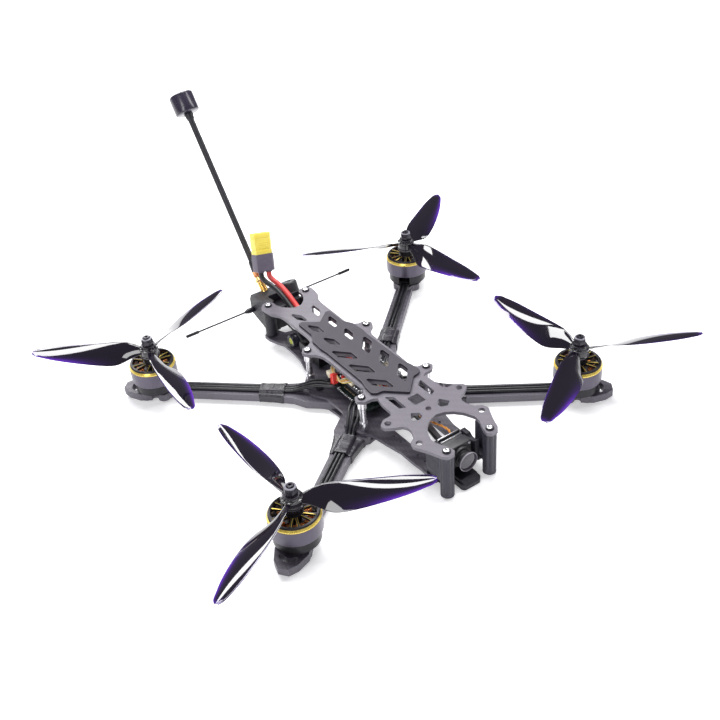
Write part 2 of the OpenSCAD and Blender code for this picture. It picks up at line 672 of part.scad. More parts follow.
module capacitor() {
    color([0.12, 0.12, 0.16]) translate([-15, 76, deck_z + 5.3]) rotate([0, 90, 0]) {
        cylinder(r = 5.2, h = 20);
    }
    color([0.8, 0.78, 0.45]) translate([-15.6, 76, deck_z + 5.3]) rotate([0, 90, 0])
        cylinder(r = 4.6, h = 0.6);
}

module receiver() {
    color([0.1, 0.12, 0.2]) {
        translate([7.4, 70, deck_z + 1]) cube([9, 14, 1.4]);
        translate([8.6, 72, deck_z + 2.4]) cube([6.4, 9, 2]);
    }
}

// ---------- rear end ----------

// Moulded rear holder: clips round the rear posts, with an angled socket for the video antenna
module rear_mount() {
    body_y = 107.4;
    low_x = -16.4;
    wide = 30.8;
    color([0.11, 0.11, 0.12]) difference() {
        union() {
            translate([low_x, 0, 0]) rotate([90, 0, 90]) linear_extrude(wide)
                polygon([[body_y, main_z + 0.5], [112, main_z + 0.5], [136, 15.6], [136, 28],
                    [133.4, 33], [112, 36.4], [body_y, 36.4]]);
            both_sides() translate([rear_post[0], rear_post[1], deck_z + 1]) cylinder(r = 4.8, h = 21);
            both_sides() translate([9, rear_post[1] + 1, deck_z + 1]) cube([4.6, 8, 21]);
        }
        sides([rear_post], deck_z) cylinder(r = 2.6 + gap, h = spacer_h);
        translate(antenna_at) rotate([-antenna_lean, 0, 0]) translate([0, 0, -9]) cylinder(r = 3.3, h = 30);
        translate([antenna_at[0] - 2.2, body_y - 6, 21.6]) cube([4.4, 26, 5]);
        translate([receiver_at[0] - 40, receiver_at[1], receiver_at[2]]) rotate([0, 90, 0])
            cylinder(r = 2.25, h = 80);
        translate([-9, body_y - 1, 28.4]) cube([16, 12, 20]);
        translate(buzzer_at) rotate([-20, 0, 0]) translate([0, 0, -0.3]) cylinder(r = 6.6, h = 30);
    }
}

module buzzer() {
    tall = 12.4;
    color([0.14, 0.14, 0.15]) translate(buzzer_at) rotate([-20, 0, 0]) difference() {
        union() {
            cylinder(r = 6.5, h = tall - 1);
            translate([0, 0, tall - 1]) cylinder(r1 = 6.5, r2 = 5.6, h = 1);
        }
        translate([0, 0, tall - 2]) cylinder(r = 1.3, h = 3);
    }
}

module along_antenna() {
    translate(antenna_at) rotate([-antenna_lean, 0, 0]) children();
}

module sma_connector() {
    color([0.83, 0.65, 0.25]) along_antenna() {
        translate([0, 0, 0]) cylinder(r = 3.2, h = 9.4);
        translate([0, 0, 9.4]) cylinder(r = 4.6, h = 2, $fn = 6);
        translate([0, 0, 11.4]) cylinder(r = 3.2, h = 2.2);
    }
    color([0.8, 0.4, 0.2]) along_antenna() translate([0, 0, 13.6]) cylinder(r = 4, h = 5, $fn = 6);
}

module antenna_rod() {
    color([0.1, 0.1, 0.11]) along_antenna() translate([0, 0, 18.65]) {
        cylinder(r1 = 3.6, r2 = 3.2, h = 9);
        translate([0, 0, 9]) cylinder(r = 2.5, h = rod_len - 14);
        translate([0, 0, rod_len - 5]) cylinder(r1 = 3.2, r2 = 3.8, h = 5);
    }
}

module antenna_cap() {
    color([0.1, 0.09, 0.16]) along_antenna() translate([0, 0, 18.7 + rod_len]) {
        cylinder(r1 = 9.4, r2 = 10, h = 0.8);
        translate([0, 0, 0.8]) cylinder(r = 10, h = 14.4);
        translate([0, 0, 15.2]) cylinder(r1 = 10, r2 = 9.2, h = 0.8);
    }
}

module receiver_antenna() {
    half = receiver_span / 2;
    color([0.1, 0.1, 0.11]) translate(receiver_at) rotate([0, 90, 0]) {
        translate([0, 0, -22]) cylinder(r = 2.2, h = 44);
        both_ends(half);
    }
}

module both_ends(half) {
    for (side = [-1, 1]) scale([1, 1, side]) {
        translate([0, 0, 22]) cylinder(r1 = 2.2, r2 = 1.2, h = 3);
        translate([0, 0, 25]) cylinder(r = 0.7, h = half - 25 - 10);
        translate([0, 0, half - 11]) cylinder(r = 1.3, h = 11);
    }
}

// ---------- battery lead ----------

module lead_red() {
    color([0.8, 0.1, 0.1]) tube(smooth(red_route, 2), lead_r, 10);
}

module lead_black() {
    color([0.08, 0.08, 0.09]) tube(smooth(black_route, 2), lead_r, 10);
}

module at_plug() {
    translate(plug_at) rotate(plug_lean) children();
}

module plug_section(h, w, d) {
    translate([-w / 2, -d / 2, 0]) cube([w - 2.6, d, h]);
    translate([w / 2 - 2.6, 0, 0]) linear_extrude(h)
        polygon([[0, -d / 2], [2.6, -d / 2 + 2.4], [2.6, d / 2 - 2.4], [0, d / 2]]);
}

module plug_cover() {
    color([0.2, 0.2, 0.22]) at_plug() difference() {
        plug_section(cover_h, plug_w + 0.8, plug_d + 0.8);
        for (side = [-1, 1]) translate([side * 3.6, 0, -1]) cylinder(r = lead_r + 0.3, h = 3);
    }
}

module plug_housing() {
    color([0.95, 0.8, 0.15]) at_plug() translate([0, 0, cover_h]) difference() {
        plug_section(housing_h, plug_w, plug_d);
        for (side = [-1, 1]) translate([side * 3.6, 0, housing_h - 12]) cylinder(r = 3, h = 13);
    }
}

module plug_contacts() {
    color([0.85, 0.68, 0.3]) at_plug() translate([0, 0, cover_h + housing_h - 12])
        for (side = [-1, 1]) translate([side * 3.6, 0, 0]) difference() {
            cylinder(r = 2.4, h = 11);
            translate([0, 0, 2]) cylinder(r = 1.75, h = 12);
        }
}

// ---------- motor wires ----------

function wire_path(route, n, spread) =
    let (last = len(route) - 1)
    [for (i = [0:last]) route[i] + (i < last - 3 ? wire_step * n : i < last - 1 ? 1.3 * wire_step * n : 1)
        * (i < last - 1 ? spread : [0, 4.4 * n, 0])];

wire_step = 2.7;

module motor_wires() {
    color([0.1, 0.1, 0.12]) for (side = [-1, 1]) mirror([side < 0 ? 1 : 0, 0, 0]) for (n = [-1, 0, 1]) {
        tube(smooth(wire_path(front_wire_route, n, [0.6, 0.8, 0]), 2), wire_r, 8);
        tube(smooth(wire_path(rear_wire_route, n, [-0.683, 0.73, 0]), 2), wire_r, 8);
    }
}

// Sleeve round an arm and the three wires on it, from a distance start along the arm
module wrap(reach, start) {
    skin = 0.8;
    long = 19;
    difference() {
        union() {
            translate([0, 0, arm_z - skin]) linear_extrude(arm_t + 2 * skin) intersection() {
                offset(delta = skin) arm_outline(reach);
                translate([start, -20]) square([long, 40]);
            }
            translate([start, -5.2, main_z]) cube([long, 10.4, 3.4]);
        }
        translate([0, 0, arm_z - 0.06]) linear_extrude(arm_t + 0.12) offset(delta = 0.06)
            arm_outline(reach);
        translate([start - 1, -4.3, main_z - 0.1]) cube([long + 2, 8.6, 2.9]);
    }
}

module wire_wraps() {
    color([0.1, 0.1, 0.11]) for (side = [-1, 1]) mirror([side < 0 ? 1 : 0, 0, 0]) {
        translate([0, front_hub_y, 0]) rotate(front_turn) wrap(front_len, 51);
        translate([0, rear_hub_y, 0]) rotate(rear_turn) wrap(rear_len, 64);
    }
}

// ---------- motors ----------

corners = [[-1, -1], [-1, 1], [1, -1], [1, 1]];

module at_motor(i) {
    translate([corners[i][0] * motor_x, corners[i][1] * motor_y, 0]) children();
}

function arm_angle(i) =
    let (a = corners[i][1] < 0 ? front_turn : rear_turn) corners[i][0] > 0 ? a : 180 - a;

module motor_bases() {
    foot_r = 12.4;
    skirt_r = 15.6;
    skin = 1.2;
    tube_r = 4.4;
    tube_top = stator_top + 1;
    color([0.1, 0.1, 0.11]) for (i = [0:3]) at_motor(i) rotate(arm_angle(i)) difference() {
        rotate_extrude($fn = 64) polygon([[bearing_r, main_z + 0.8], [3, main_z + 0.8], [3, main_z],
            [foot_r, main_z], [foot_r, base_top - skin], [skirt_r, base_top - skin],
            [skirt_r, skirt_top], [skirt_r - skin, skirt_top], [skirt_r - skin, base_top],
            [tube_r, base_top], [tube_r, tube_top], [bearing_r, tube_top]]);
        for (a = [-lobe, lobe], b = [-lobe, lobe]) translate([a, b, main_z - 1])
            cylinder(r = screw_r + gap, h = base_t + 2);
        translate([-24, -4.6, main_z - 1]) cube([11.2, 9.2, skirt_top]);
    }
}

module cylinder_between(r, low, high) {
    translate([0, 0, low]) cylinder(r = r, h = high - low);
}

// Twelve wound teeth round the bearing tube
module windings() {
    color([0.72, 0.38, 0.2]) for (i = [0:3]) at_motor(i) difference() {
        union() {
            cylinder_between(7, stator_low + 1.5, stator_top - 1.5);
            for (k = [0:11]) rotate(k * 30) {
                translate([6.4, -1, stator_low + 1.5]) cube([6.6, 2, 6]);
                translate([7.6, -1.75, stator_low]) cube([4.4, 3.5, 9]);
                translate([12.4, -2.7, stator_low + 1.5]) cube([1.2, 5.4, 6]);
            }
        }
        translate([0, 0, stator_low - 1]) cylinder(r = 4.45, h = 20);
    }
}

module motor_screws() {
    color([0.2, 0.2, 0.22]) for (i = [0:3]) at_motor(i) rotate(arm_angle(i))
        for (a = [-lobe, lobe], b = [-lobe, lobe]) translate([a, b, arm_z]) {
            cylinder_between(screw_r, 0, arm_t + 3);
            mirror([0, 0, 1]) difference() {
                cylinder(r1 = 2.8, r2 = 1.9, h = 1.6);
                translate([0, 0, 0.7]) cylinder(r = 1.15, h = 2, $fn = 6);
            }
        }
}

module bell(i) {
    wall = 3.1;
    color([0.4, 0.38, 0.44]) at_motor(i) {
        difference() {
            union() {
                cylinder_between(bell_r, bell_bottom, ring_z);
                translate([0, 0, ring_z]) cylinder(r1 = bell_r, r2 = bell_r - 1.5, h = ring_h);
            }
            translate([0, 0, bell_bottom - 1]) cylinder(r = bell_r - wall, h = bell_wall + ring_h + 2);
        }
        for (k = [0:spoke_pairs - 1], s = [-spoke_spread, spoke_spread]) rotate(k * 360 / spoke_pairs + s)
            translate([4.6, -0.65, ring_z + 0.2]) cube([bell_r - wall - 4.2, 1.3, ring_h - 0.4]);
        cylinder_between(6.4, ring_z, bell_top);
        cylinder_between(5.6, bell_top, boss_top);
        cylinder_between(shaft_r, main_z + 1.2, ring_z + 0.1);
        cylinder_between(stub_r, boss_top - 0.1, nut_top + 1);
    }
}

module bell_front_right() { bell(0); }
module bell_rear_right() { bell(1); }
module bell_front_left() { bell(2); }
module bell_rear_left() { bell(3); }

// ---------- propellers ----------

// Ring of points round the blade at radius r, with its leading edge high
function blade_ring(f) =
    let (r = f * prop_r, lead = lookup(f, blade_lead), trail = lookup(f, blade_trail),
        thick = lookup(f, blade_thick), slope = min(blade_root_angle, atan(prop_pitch / (2 * PI * r))))
    [for (p = [[0, 0], [0.12, 0.42], [0.35, 0.62], [0.65, 0.5], [0.9, 0.22], [1, 0], [0.9, -0.12],
        [0.65, -0.22], [0.35, -0.3], [0.12, -0.28]])
        let (c = lead + (trail - lead) * p[0], t = thick * p[1] + 0.9 * sin(180 * p[0]) * (1 - f * 0.5))
        [r, c * cos(slope) - t * sin(slope), c * sin(slope) + t * cos(slope) + blade_rise * f]];

module blade() {
    ring = 10;
    n = len(blade_stations);
    points = [for (f = blade_stations) each blade_ring(f)];
    walls = [for (i = [0:n - 2], k = [0:ring - 1])
        let (a = i * ring + k, b = i * ring + (k + 1) % ring)
        each [[a, b + ring, b], [a, a + ring, b + ring]]];
    polyhedron(points, concat([[for (k = [0:ring - 1]) k]],
        [[for (k = [ring - 1:-1:0]) (n - 1) * ring + k]], walls), convexity = 4);
}

module prop(i) {
    blade_z = (prop_low + prop_high) / 2 + 0.3;
    clockwise = corners[i][0] * corners[i][1] < 0;
    color([0.1, 0.08, 0.16]) at_motor(i) difference() {
        union() {
            cylinder_between(7.2, prop_low, prop_high - 1.6);
            cylinder_between(5.6, prop_high - 1.7, prop_high);
            rotate(prop_angles[i]) for (k = [0:blades - 1]) rotate(k * 360 / blades)
                translate([0, 0, blade_z]) scale([1, clockwise ? -1 : 1, 1]) blade();
        }
        translate([0, 0, prop_low - 1]) cylinder(r = stub_r + gap, h = 20);
    }
}

module prop_front_right() { prop(0); }
module prop_rear_right() { prop(1); }
module prop_front_left() { prop(2); }
module prop_rear_left() { prop(3); }

module nut(i) {
    color([0.75, 0.75, 0.78]) at_motor(i) difference() {
        union() {
            cylinder_between(5.4, prop_high + gap, washer_top);
            translate([0, 0, washer_top]) cylinder(r = 4.6, h = nut_h - 1.6, $fn = 6);
            translate([0, 0, nut_top - 1.6]) cylinder(r1 = 3.9, r2 = 3.5, h = 1.6);
        }
        translate([0, 0, prop_high - 1]) cylinder(r = stub_r + gap, h = 12);
    }
}

module nut_front_right() { nut(0); }
module nut_rear_right() { nut(1); }
module nut_front_left() { nut(2); }
module nut_rear_left() { nut(3); }

clamp_plate();
main_plate();
top_plate();
arm_front_right();
arm_rear_right();
arm_front_left();
arm_rear_left();
battery_pad();
standoffs();
rear_posts();
corner_posts();
top_screws();
lower_screws();
chin_guard();
camera_cheeks();
camera_case();
camera_lens();
camera_board();
camera_screws();
camera_cable();
esc_board();
esc_parts();
fc_board();
fc_chips();
fc_plugs();
stack_screws();
stack_spacers();
boot_button();
vtx_case();
vtx_coax();
capacitor();
receiver();
rear_mount();
buzzer();
sma_connector();
antenna_rod();
antenna_cap();
receiver_antenna();
lead_red();
lead_black();
plug_housing();
plug_cover();
plug_contacts();
wire_wraps();
motor_wires();
motor_bases();
windings();
motor_screws();
bell_front_right();
bell_rear_right();
bell_front_left();
bell_rear_left();
prop_front_right();
prop_rear_right();
prop_front_left();
prop_rear_left();
nut_front_right();
nut_rear_right();
nut_front_left();
nut_rear_left();
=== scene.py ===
import random
from math import atan, atan2, cos, degrees, hypot, pi, radians, sin, sqrt

import bmesh
import bpy
from mathutils import Matrix, Vector, noise


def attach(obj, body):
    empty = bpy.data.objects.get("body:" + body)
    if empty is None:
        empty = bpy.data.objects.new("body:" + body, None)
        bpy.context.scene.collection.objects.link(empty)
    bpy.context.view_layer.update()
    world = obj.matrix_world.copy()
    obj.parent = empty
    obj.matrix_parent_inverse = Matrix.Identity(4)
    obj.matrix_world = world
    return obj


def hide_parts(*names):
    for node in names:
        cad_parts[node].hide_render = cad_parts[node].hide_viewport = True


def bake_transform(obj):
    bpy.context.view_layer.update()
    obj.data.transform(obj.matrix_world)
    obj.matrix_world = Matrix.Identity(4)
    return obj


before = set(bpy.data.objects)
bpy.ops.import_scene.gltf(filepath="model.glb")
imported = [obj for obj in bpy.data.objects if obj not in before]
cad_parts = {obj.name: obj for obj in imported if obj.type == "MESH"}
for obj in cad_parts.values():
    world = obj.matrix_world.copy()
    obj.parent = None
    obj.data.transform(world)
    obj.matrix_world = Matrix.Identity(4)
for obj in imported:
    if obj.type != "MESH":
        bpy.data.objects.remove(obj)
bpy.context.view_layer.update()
MM = 0.001
SIDES = (-1, 1)
WELD, FLAT_DEGREES, EDGE_DEGREES = 2e-6, 0.6, 32  # for the copies of CAD nodes
rng = random.Random(7)

# ---- camera and light

UP = Vector((0.3813, 0.4494, 0.808))
BACK = Vector((-0.4297, -0.6877, 0.5852))
EYE = Vector((-0.3116, -0.4994, 0.458))
LIGHTS = (("box_low", (0.2, 1.3, 0.9), (1.05, 0.26), 10), ("box_left", (-0.3, 0.9, 1.35), (0.9, 0.3), 10),
          ("box_right", (0.55, 0.55, 1.35), (0.9, 0.3), 10), ("box_high", (0.2, 0.2, 1.62), (1, 0.24), 10),
          ("fill", (-1.3, -0.7, 1), (0.5, 1.1), 10), ("rim", (1.2, -0.5, 1.1), (0.4, 0.9), 9))
LIGHTS_AIM = Vector((0, 0, 0.03))


def add_object(name, data, place=None):
    obj = bpy.data.objects.new(name, data)
    bpy.context.scene.collection.objects.link(obj)
    if place is not None:
        obj.matrix_world = place
    return obj


def make_camera():
    data = bpy.data.cameras.new("view_camera")
    data.sensor_width, data.lens = 36, 49.33
    data.clip_start, data.clip_end = 0.01, 20
    back = BACK.normalized()
    right = UP.cross(back).normalized()
    turn = Matrix((right, back.cross(right).normalized(), back)).transposed().to_4x4()
    bpy.context.scene.camera = add_object("view_camera", data, Matrix.Translation(EYE) @ turn)


def studio():
    """Soft boxes overhead and a dim world, so that dark parts stay dark."""
    bpy.context.scene.view_settings.view_transform = "Standard"
    world = bpy.data.worlds.new("studio")
    bpy.context.scene.world = world
    world.use_nodes = True
    background = world.node_tree.nodes["Background"]
    background.inputs["Color"].default_value = (0.95, 0.92, 1.04, 1)
    background.inputs["Strength"].default_value = 0.2
    for name, at, size, power in LIGHTS:
        data = bpy.data.lights.new(name, "AREA")
        data.shape, data.energy = "RECTANGLE", power
        data.size, data.size_y = size
        turn = (LIGHTS_AIM - Vector(at)).to_track_quat("-Z", "Y").to_matrix().to_4x4()
        add_object(name, data, Matrix.Translation(at) @ turn)


# ---- materials

def add_node(tree, kind, values, out=0, **settings):
    """One output of a new node, whose inputs are numbers, colours or links."""
    node = tree.nodes.new("ShaderNode" + kind)
    for key, value in settings.items():
        setattr(node, key, value)
    for key, value in values.items():
        if isinstance(value, bpy.types.NodeSocket):
            tree.links.new(value, node.inputs[key])
        else:
            node.inputs[key].default_value = value
    return node.outputs[out]


def object_place(tree, scale=(1, 1, 1)):
    return add_node(tree, "Mapping", {"Vector": add_node(tree, "TexCoord", {}, "Object"), "Scale": scale})


def axes(tree, vector):
    split = tree.nodes.new("ShaderNodeSeparateXYZ")
    tree.links.new(vector, split.inputs[0])
    return split.outputs


def noise_node(tree, scale, detail, stretch=(1, 1, 1)):
    return add_node(tree, "TexNoise", {"Scale": scale, "Detail": detail, "Roughness": 0.55,
                                       "Vector": object_place(tree, stretch)}, "Fac")


def spread(tree, value, low, high):
    """Carries the middle of a noise's range onto low to high."""
    return add_node(tree, "MapRange", {"From Min": 0.3, "From Max": 0.7, "To Min": low, "To Max": high,
                                       "Value": value}, "Result")


def mix_colour(tree, factor, a, b):
    a, b = [(*tone, 1) if isinstance(tone, tuple) else tone for tone in (a, b)]
    return add_node(tree, "Mix", {0: factor, 6: a, 7: b}, 2, data_type="RGBA")


def bump(tree, height, strength, distance, before=None):
    values = {"Strength": strength, "Distance": distance, "Height": height}
    if before is not None:
        values["Normal"] = before
    return add_node(tree, "Bump", values, "Normal")


def surface(name, colour, second, rough, metal=0, patch=40, grain=900, grain_depth=0.00003, coat=0,
            specular=0.5, extra=None):
    """A material whose colour drifts between two tones, with a fine grain in roughness and bump."""
    made = bpy.data.materials.new(name)
    made.use_nodes = True
    tree = made.node_tree
    shader = tree.nodes["Principled BSDF"]
    tone = mix_colour(tree, spread(tree, noise_node(tree, patch, 4), 0, 1), colour, second)
    fine = noise_node(tree, grain, 3)
    look = tone, spread(tree, fine, *rough), bump(tree, fine, 0.35, grain_depth)
    if extra:
        look = extra(tree, *look)
    for key, value in zip(("Base Color", "Roughness", "Normal"), look):
        tree.links.new(value, shader.inputs[key])
    for key, value in (("Metallic", metal), ("Coat Weight", coat), ("Coat Roughness", 0.08),
                       ("Specular IOR Level", specular)):
        shader.inputs[key].default_value = value
    return made


def weave(pitch, contrast, depth):
    """Two by two twill on the faces that look up or down, thin plies on the cut edges."""
    def pattern(tree, tone, roughness, normal):
        def calc(kind, *values):
            return add_node(tree, "Math", dict(enumerate(values)), operation=kind)

        across, along, height = axes(tree, object_place(tree))
        u, v = calc("DIVIDE", across, pitch), calc("DIVIDE", along, pitch)
        steps = calc("ADD", calc("FLOOR", u), calc("FLOOR", v))
        over = calc("LESS_THAN", calc("FLOORED_MODULO", steps, 4), 2)
        crown_u, crown_v = [calc("ABSOLUTE", calc("SINE", calc("MULTIPLY", w, pi))) for w in (u, v)]
        crown = calc("ADD", calc("MULTIPLY", crown_u, over),
                     calc("MULTIPLY", crown_v, calc("SUBTRACT", 1, over)))
        facing = axes(tree, tree.nodes.new("ShaderNodeNewGeometry").outputs["Normal"])
        flat = calc("GREATER_THAN", calc("ABSOLUTE", facing[2]), 0.6)
        plies = calc("SINE", calc("MULTIPLY", height, 2 * pi / 0.00031))
        twill = calc("ADD", calc("MULTIPLY", over, contrast), calc("MULTIPLY", crown, contrast * 0.8))
        lines = calc("MULTIPLY", calc("ADD", plies, 1), 0.12)
        shade = calc("ADD", calc("MULTIPLY", twill, flat),
                     calc("MULTIPLY", lines, calc("SUBTRACT", 1, flat)))
        tone = mix_colour(tree, shade, tone, (0.42, 0.41, 0.46))
        return tone, roughness, bump(tree, crown, 0.25, depth, normal)
    return pattern


def layers(pitch, strength=0.5):
    """Fine horizontal ridges, as a printed part has."""
    def pattern(tree, tone, roughness, normal):
        height = axes(tree, object_place(tree))[2]
        angle = add_node(tree, "Math", {0: height, 1: 2 * pi / pitch}, operation="MULTIPLY")
        ridge = add_node(tree, "Math", {0: angle}, operation="SINE")
        return tone, roughness, bump(tree, ridge, strength, 0.00005, normal)
    return pattern


def brushed(tree, tone, roughness, normal):
    """Fine rings round the turned part's own axis."""
    fine = noise_node(tree, 5200, 2, (0.06, 0.06, 1))
    return tone, roughness, bump(tree, fine, 0.3, 0.00002, normal)


def crackle(tree, tone, roughness, normal):
    """The pebbled skin of moulded rubber."""
    cells = add_node(tree, "TexVoronoi", {"Scale": 1500, "Vector": object_place(tree)}, "Distance")
    return tone, roughness, bump(tree, cells, 0.3, 0.0001, normal)


def blade_tint(tree, tone, roughness, normal):
    """Smoked plastic that shows violet where the blade is thin."""
    mark = add_node(tree, "Attribute", {}, "Fac", attribute_name="thin")
    glow = add_node(tree, "ValToRGB", {"Fac": mark}, "Color")
    stops = glow.node.color_ramp.elements
    for place in (0.45, 0.75):
        stops.new(place)
    for stop, violet in zip(stops, ((0.0045, 0.0025, 0.008, 1), (0.022, 0.007, 0.07, 1),
                                    (0.055, 0.012, 0.22, 1), (0.13, 0.033, 0.46, 1))):
        stop.color = violet
    return mix_colour(tree, 0.12, glow, tone), roughness, normal


# Key, name, two tones in thousandths, range of roughness, metal, scale of the drift, scale of the grain.
# The lighter second tones for the rounded edge strips of the top plate, the arms and the battery pad are
# painted edge highlights.
MATERIALS = """
plate carbon_plate 106 94 118 136 123 150 0.34 0.5 0 25 1400
plate_edge carbon_plate_edge 210 205 235 280 270 310 0.3 0.42 0 300 1600
arm carbon_arm 42 35 52 64 55 77 0.36 0.5 0 30 1300
arm_edge carbon_arm_edge 100 88 120 150 135 175 0.3 0.42 0 300 1600
pad pad_rubber 34 28 41 44 37 53 0.5 0.66 0 18 2400
pad_edge pad_rubber_edge 75 68 85 100 92 112 0.45 0.6 0 200 1500
alu satin_metal 700 690 730 800 790 820 0.22 0.34 0.95 90 2600
black_metal black_metal 28 27 32 50 48 56 0.24 0.4 0.55 300 2000
socket bright_socket 720 720 760 900 900 920 0.16 0.3 0.95 500 2600
grey_print grey_print 28 26 40 40 38 56 0.38 0.52 0 70 1100
black_print black_print 10 9 15 17 16 25 0.42 0.58 0 70 1100
camera camera_black 22 22 26 34 33 38 0.34 0.5 0 200 2400
hood hood_grey 60 50 68 85 72 95 0.42 0.56 0 200 2400
hood_rim hood_rim 240 220 260 320 300 340 0.3 0.42 0 200 2000
silver bright_frame 500 490 520 620 610 640 0.22 0.34 0.8 200 2400
glass lens_glass 20 15 27 32 25 41 0.12 0.2 0 80 500
orange orange_wire 800 300 45 920 400 80 0.34 0.5 0 300 1800
gold_wire yellow_wire 720 520 100 820 620 180 0.34 0.5 0 300 1800
ribbon grey_ribbon 110 100 115 150 140 155 0.42 0.6 0 120 1500
board board_mask 12 22 20 20 34 30 0.25 0.4 0 260 1500
board_dark board_dark 20 22 30 34 36 46 0.25 0.4 0 260 1500
chip chip_package 26 26 28 40 40 42 0.45 0.6 0 300 2200
solder solder 780 780 800 900 900 920 0.16 0.34 0.9 700 1800
ceramic ceramic 420 300 180 550 420 270 0.4 0.55 0 900 900
cream plug_cream 780 700 520 850 780 620 0.3 0.42 0 200 900
red_part red_part 680 30 25 800 60 50 0.25 0.38 0 300 900
steel plated_steel 420 420 450 560 560 600 0.22 0.36 0.9 300 2200
grommet grommet_rubber 30 30 32 45 45 48 0.55 0.7 0 200 1500
coax coax_sheath 22 22 24 35 35 38 0.35 0.5 0 200 900
sleeve capacitor_sleeve 14 14 24 22 22 36 0.25 0.38 0 200 900
sleeve_mark capacitor_top 500 550 80 660 700 160 0.24 0.36 0.3 300 900
receiver receiver_mask 30 35 90 45 50 120 0.3 0.45 0 260 900
buzzer buzzer_black 30 30 34 45 45 50 0.3 0.45 0 150 1500
brass gold_plate 830 580 200 930 720 320 0.16 0.3 0.95 300 2200
copper_nut copper_nut 780 300 120 880 420 200 0.2 0.34 0.9 300 2200
antenna antenna_black 10 10 14 18 18 24 0.36 0.5 0 120 1800
cap antenna_cap 22 18 34 34 28 50 0.2 0.34 0 120 1500
red_lead red_silicone 720 50 50 840 100 90 0.3 0.42 0 120 1200
black_lead black_silicone 10 10 12 18 18 21 0.3 0.42 0 120 1200
yellow yellow_nylon 960 770 90 990 830 150 0.3 0.42 0 90 1500
plug_grey plug_cover_grey 115 98 138 145 126 170 0.4 0.55 0 120 1500
tape satin_tape 14 12 18 23 20 29 0.24 0.38 0 90 1400
wire black_wire 10 10 13 18 18 22 0.26 0.38 0 150 1400
motor_black motor_black 18 17 20 30 28 33 0.28 0.42 0.6 200 2000
lamination lamination 100 95 100 150 140 150 0.35 0.5 0.7 300 2000
copper enamelled_copper 620 220 70 780 340 120 0.2 0.34 0.9 500 2000
magnet magnet 550 550 580 700 700 730 0.25 0.4 0.9 300 900
bell bell_grey 92 80 112 115 102 138 0.3 0.42 0.5 90 2400
gold gold_rim 820 600 100 920 720 180 0.22 0.34 0.6 200 2400
spoke spoke_black 30 28 32 50 47 54 0.3 0.42 0.6 200 2000
blade smoked_violet 8 5 14 14 8 22 0.035 0.06 0 40 600
hub hub_black 7 6 10 13 10 17 0.12 0.22 0 120 1200
nut nut_black 22 20 28 38 35 46 0.2 0.32 0.4 300 2200
nylon nut_ring 200 190 230 290 280 330 0.24 0.36 0.2 300 900
floor pale_floor 860 860 870 880 880 890 0.75 0.85 0 2 60
"""
# The bright socket metal on the screw sockets and dome crowns is a painted highlight.
FINISHES = dict(plate=dict(extra=weave(0.0021, 0.025, 0.00002), specular=0.6),
                arm=dict(extra=weave(0.0021, 0.06, 0.00005), specular=0.55),
                pad=dict(grain_depth=0.00008, extra=crackle), alu=dict(extra=brushed),
                grey_print=dict(extra=layers(0.0003)), black_print=dict(extra=layers(0.0003)),
                glass=dict(grain_depth=0.000001, coat=0.4), board=dict(coat=0.3),
                board_dark=dict(coat=0.3), red_part=dict(coat=0.3), sleeve=dict(coat=0.4),
                receiver=dict(coat=0.2), cap=dict(coat=0.25), lamination=dict(extra=layers(0.0004, 0.8)),
                bell=dict(extra=brushed), gold=dict(extra=brushed),
                blade=dict(grain_depth=0.000001, specular=0.9, extra=blade_tint),
                hub=dict(grain_depth=0.00001, coat=0.4), floor=dict(specular=0.1))


def make_materials():
    made = {}
    for line in MATERIALS.strip().split("\n"):
        key, name, *row = line.split()
        tones = [int(value) / 1000 for value in row[:6]]
        low, high, *rest = [float(value) for value in row[6:]]
        made[key] = surface(name, tuple(tones[:3]), tuple(tones[3:]), (low, high), *rest,
                            **FINISHES.get(key, {}))
    return made


# ---- mesh tools

def smooth_route(points, steps):
    """A smooth curve through the points, with a number of steps between each two."""
    p = [Vector(q) for q in points]
    last = len(p) - 1
    out = []
    for i in range(last):
        a, b, c, d = p[max(0, i - 1)], p[i], p[i + 1], p[min(last, i + 2)]
        for t in [k / steps for k in range(steps)]:
            out.append(0.5 * ((2 * b) + (c - a) * t + (2 * a - 5 * b + 4 * c - d) * t * t
                              + (3 * b - a - 3 * c + d) * t * t * t))
    return out + [p[-1]]


def bend(start, corner, end, t):
    """A point of a rounded corner, from its start at t = 0 to its end at t = 1."""
    return start * (1 - t) ** 2 + corner * 2 * t * (1 - t) + end * t * t


def fillet(profile, radius):
    """Rounds the inner corners of an open line of (r, z) points."""
    out = [tuple(profile[0])]
    for a, b, c in zip(profile, profile[1:], profile[2:]):
        a, b, c = Vector(a), Vector(b), Vector(c)
        size = min(radius, (a - b).length * 0.45, (c - b).length * 0.45)
        start, end = b + (a - b).normalized() * size, b + (c - b).normalized() * size
        out += [tuple(bend(start, b, end, k / 3)) for k in range(4)]
    return out + [tuple(profile[-1])]


def lifted(z, profile):
    return [(r, z + h) for r, h in profile]


def ease(x, low, high):
    t = min(1, max(0, (x - low) / (high - low)))
    return t * t * (3 - 2 * t)


def hex_radius(radius, angle):
    """Distance to the side of a hexagon whose corners, slightly rounded, are at the radius."""
    part = (angle % (pi / 3)) - pi / 6
    return min(radius * cos(pi / 6) / cos(part), radius * 0.985)


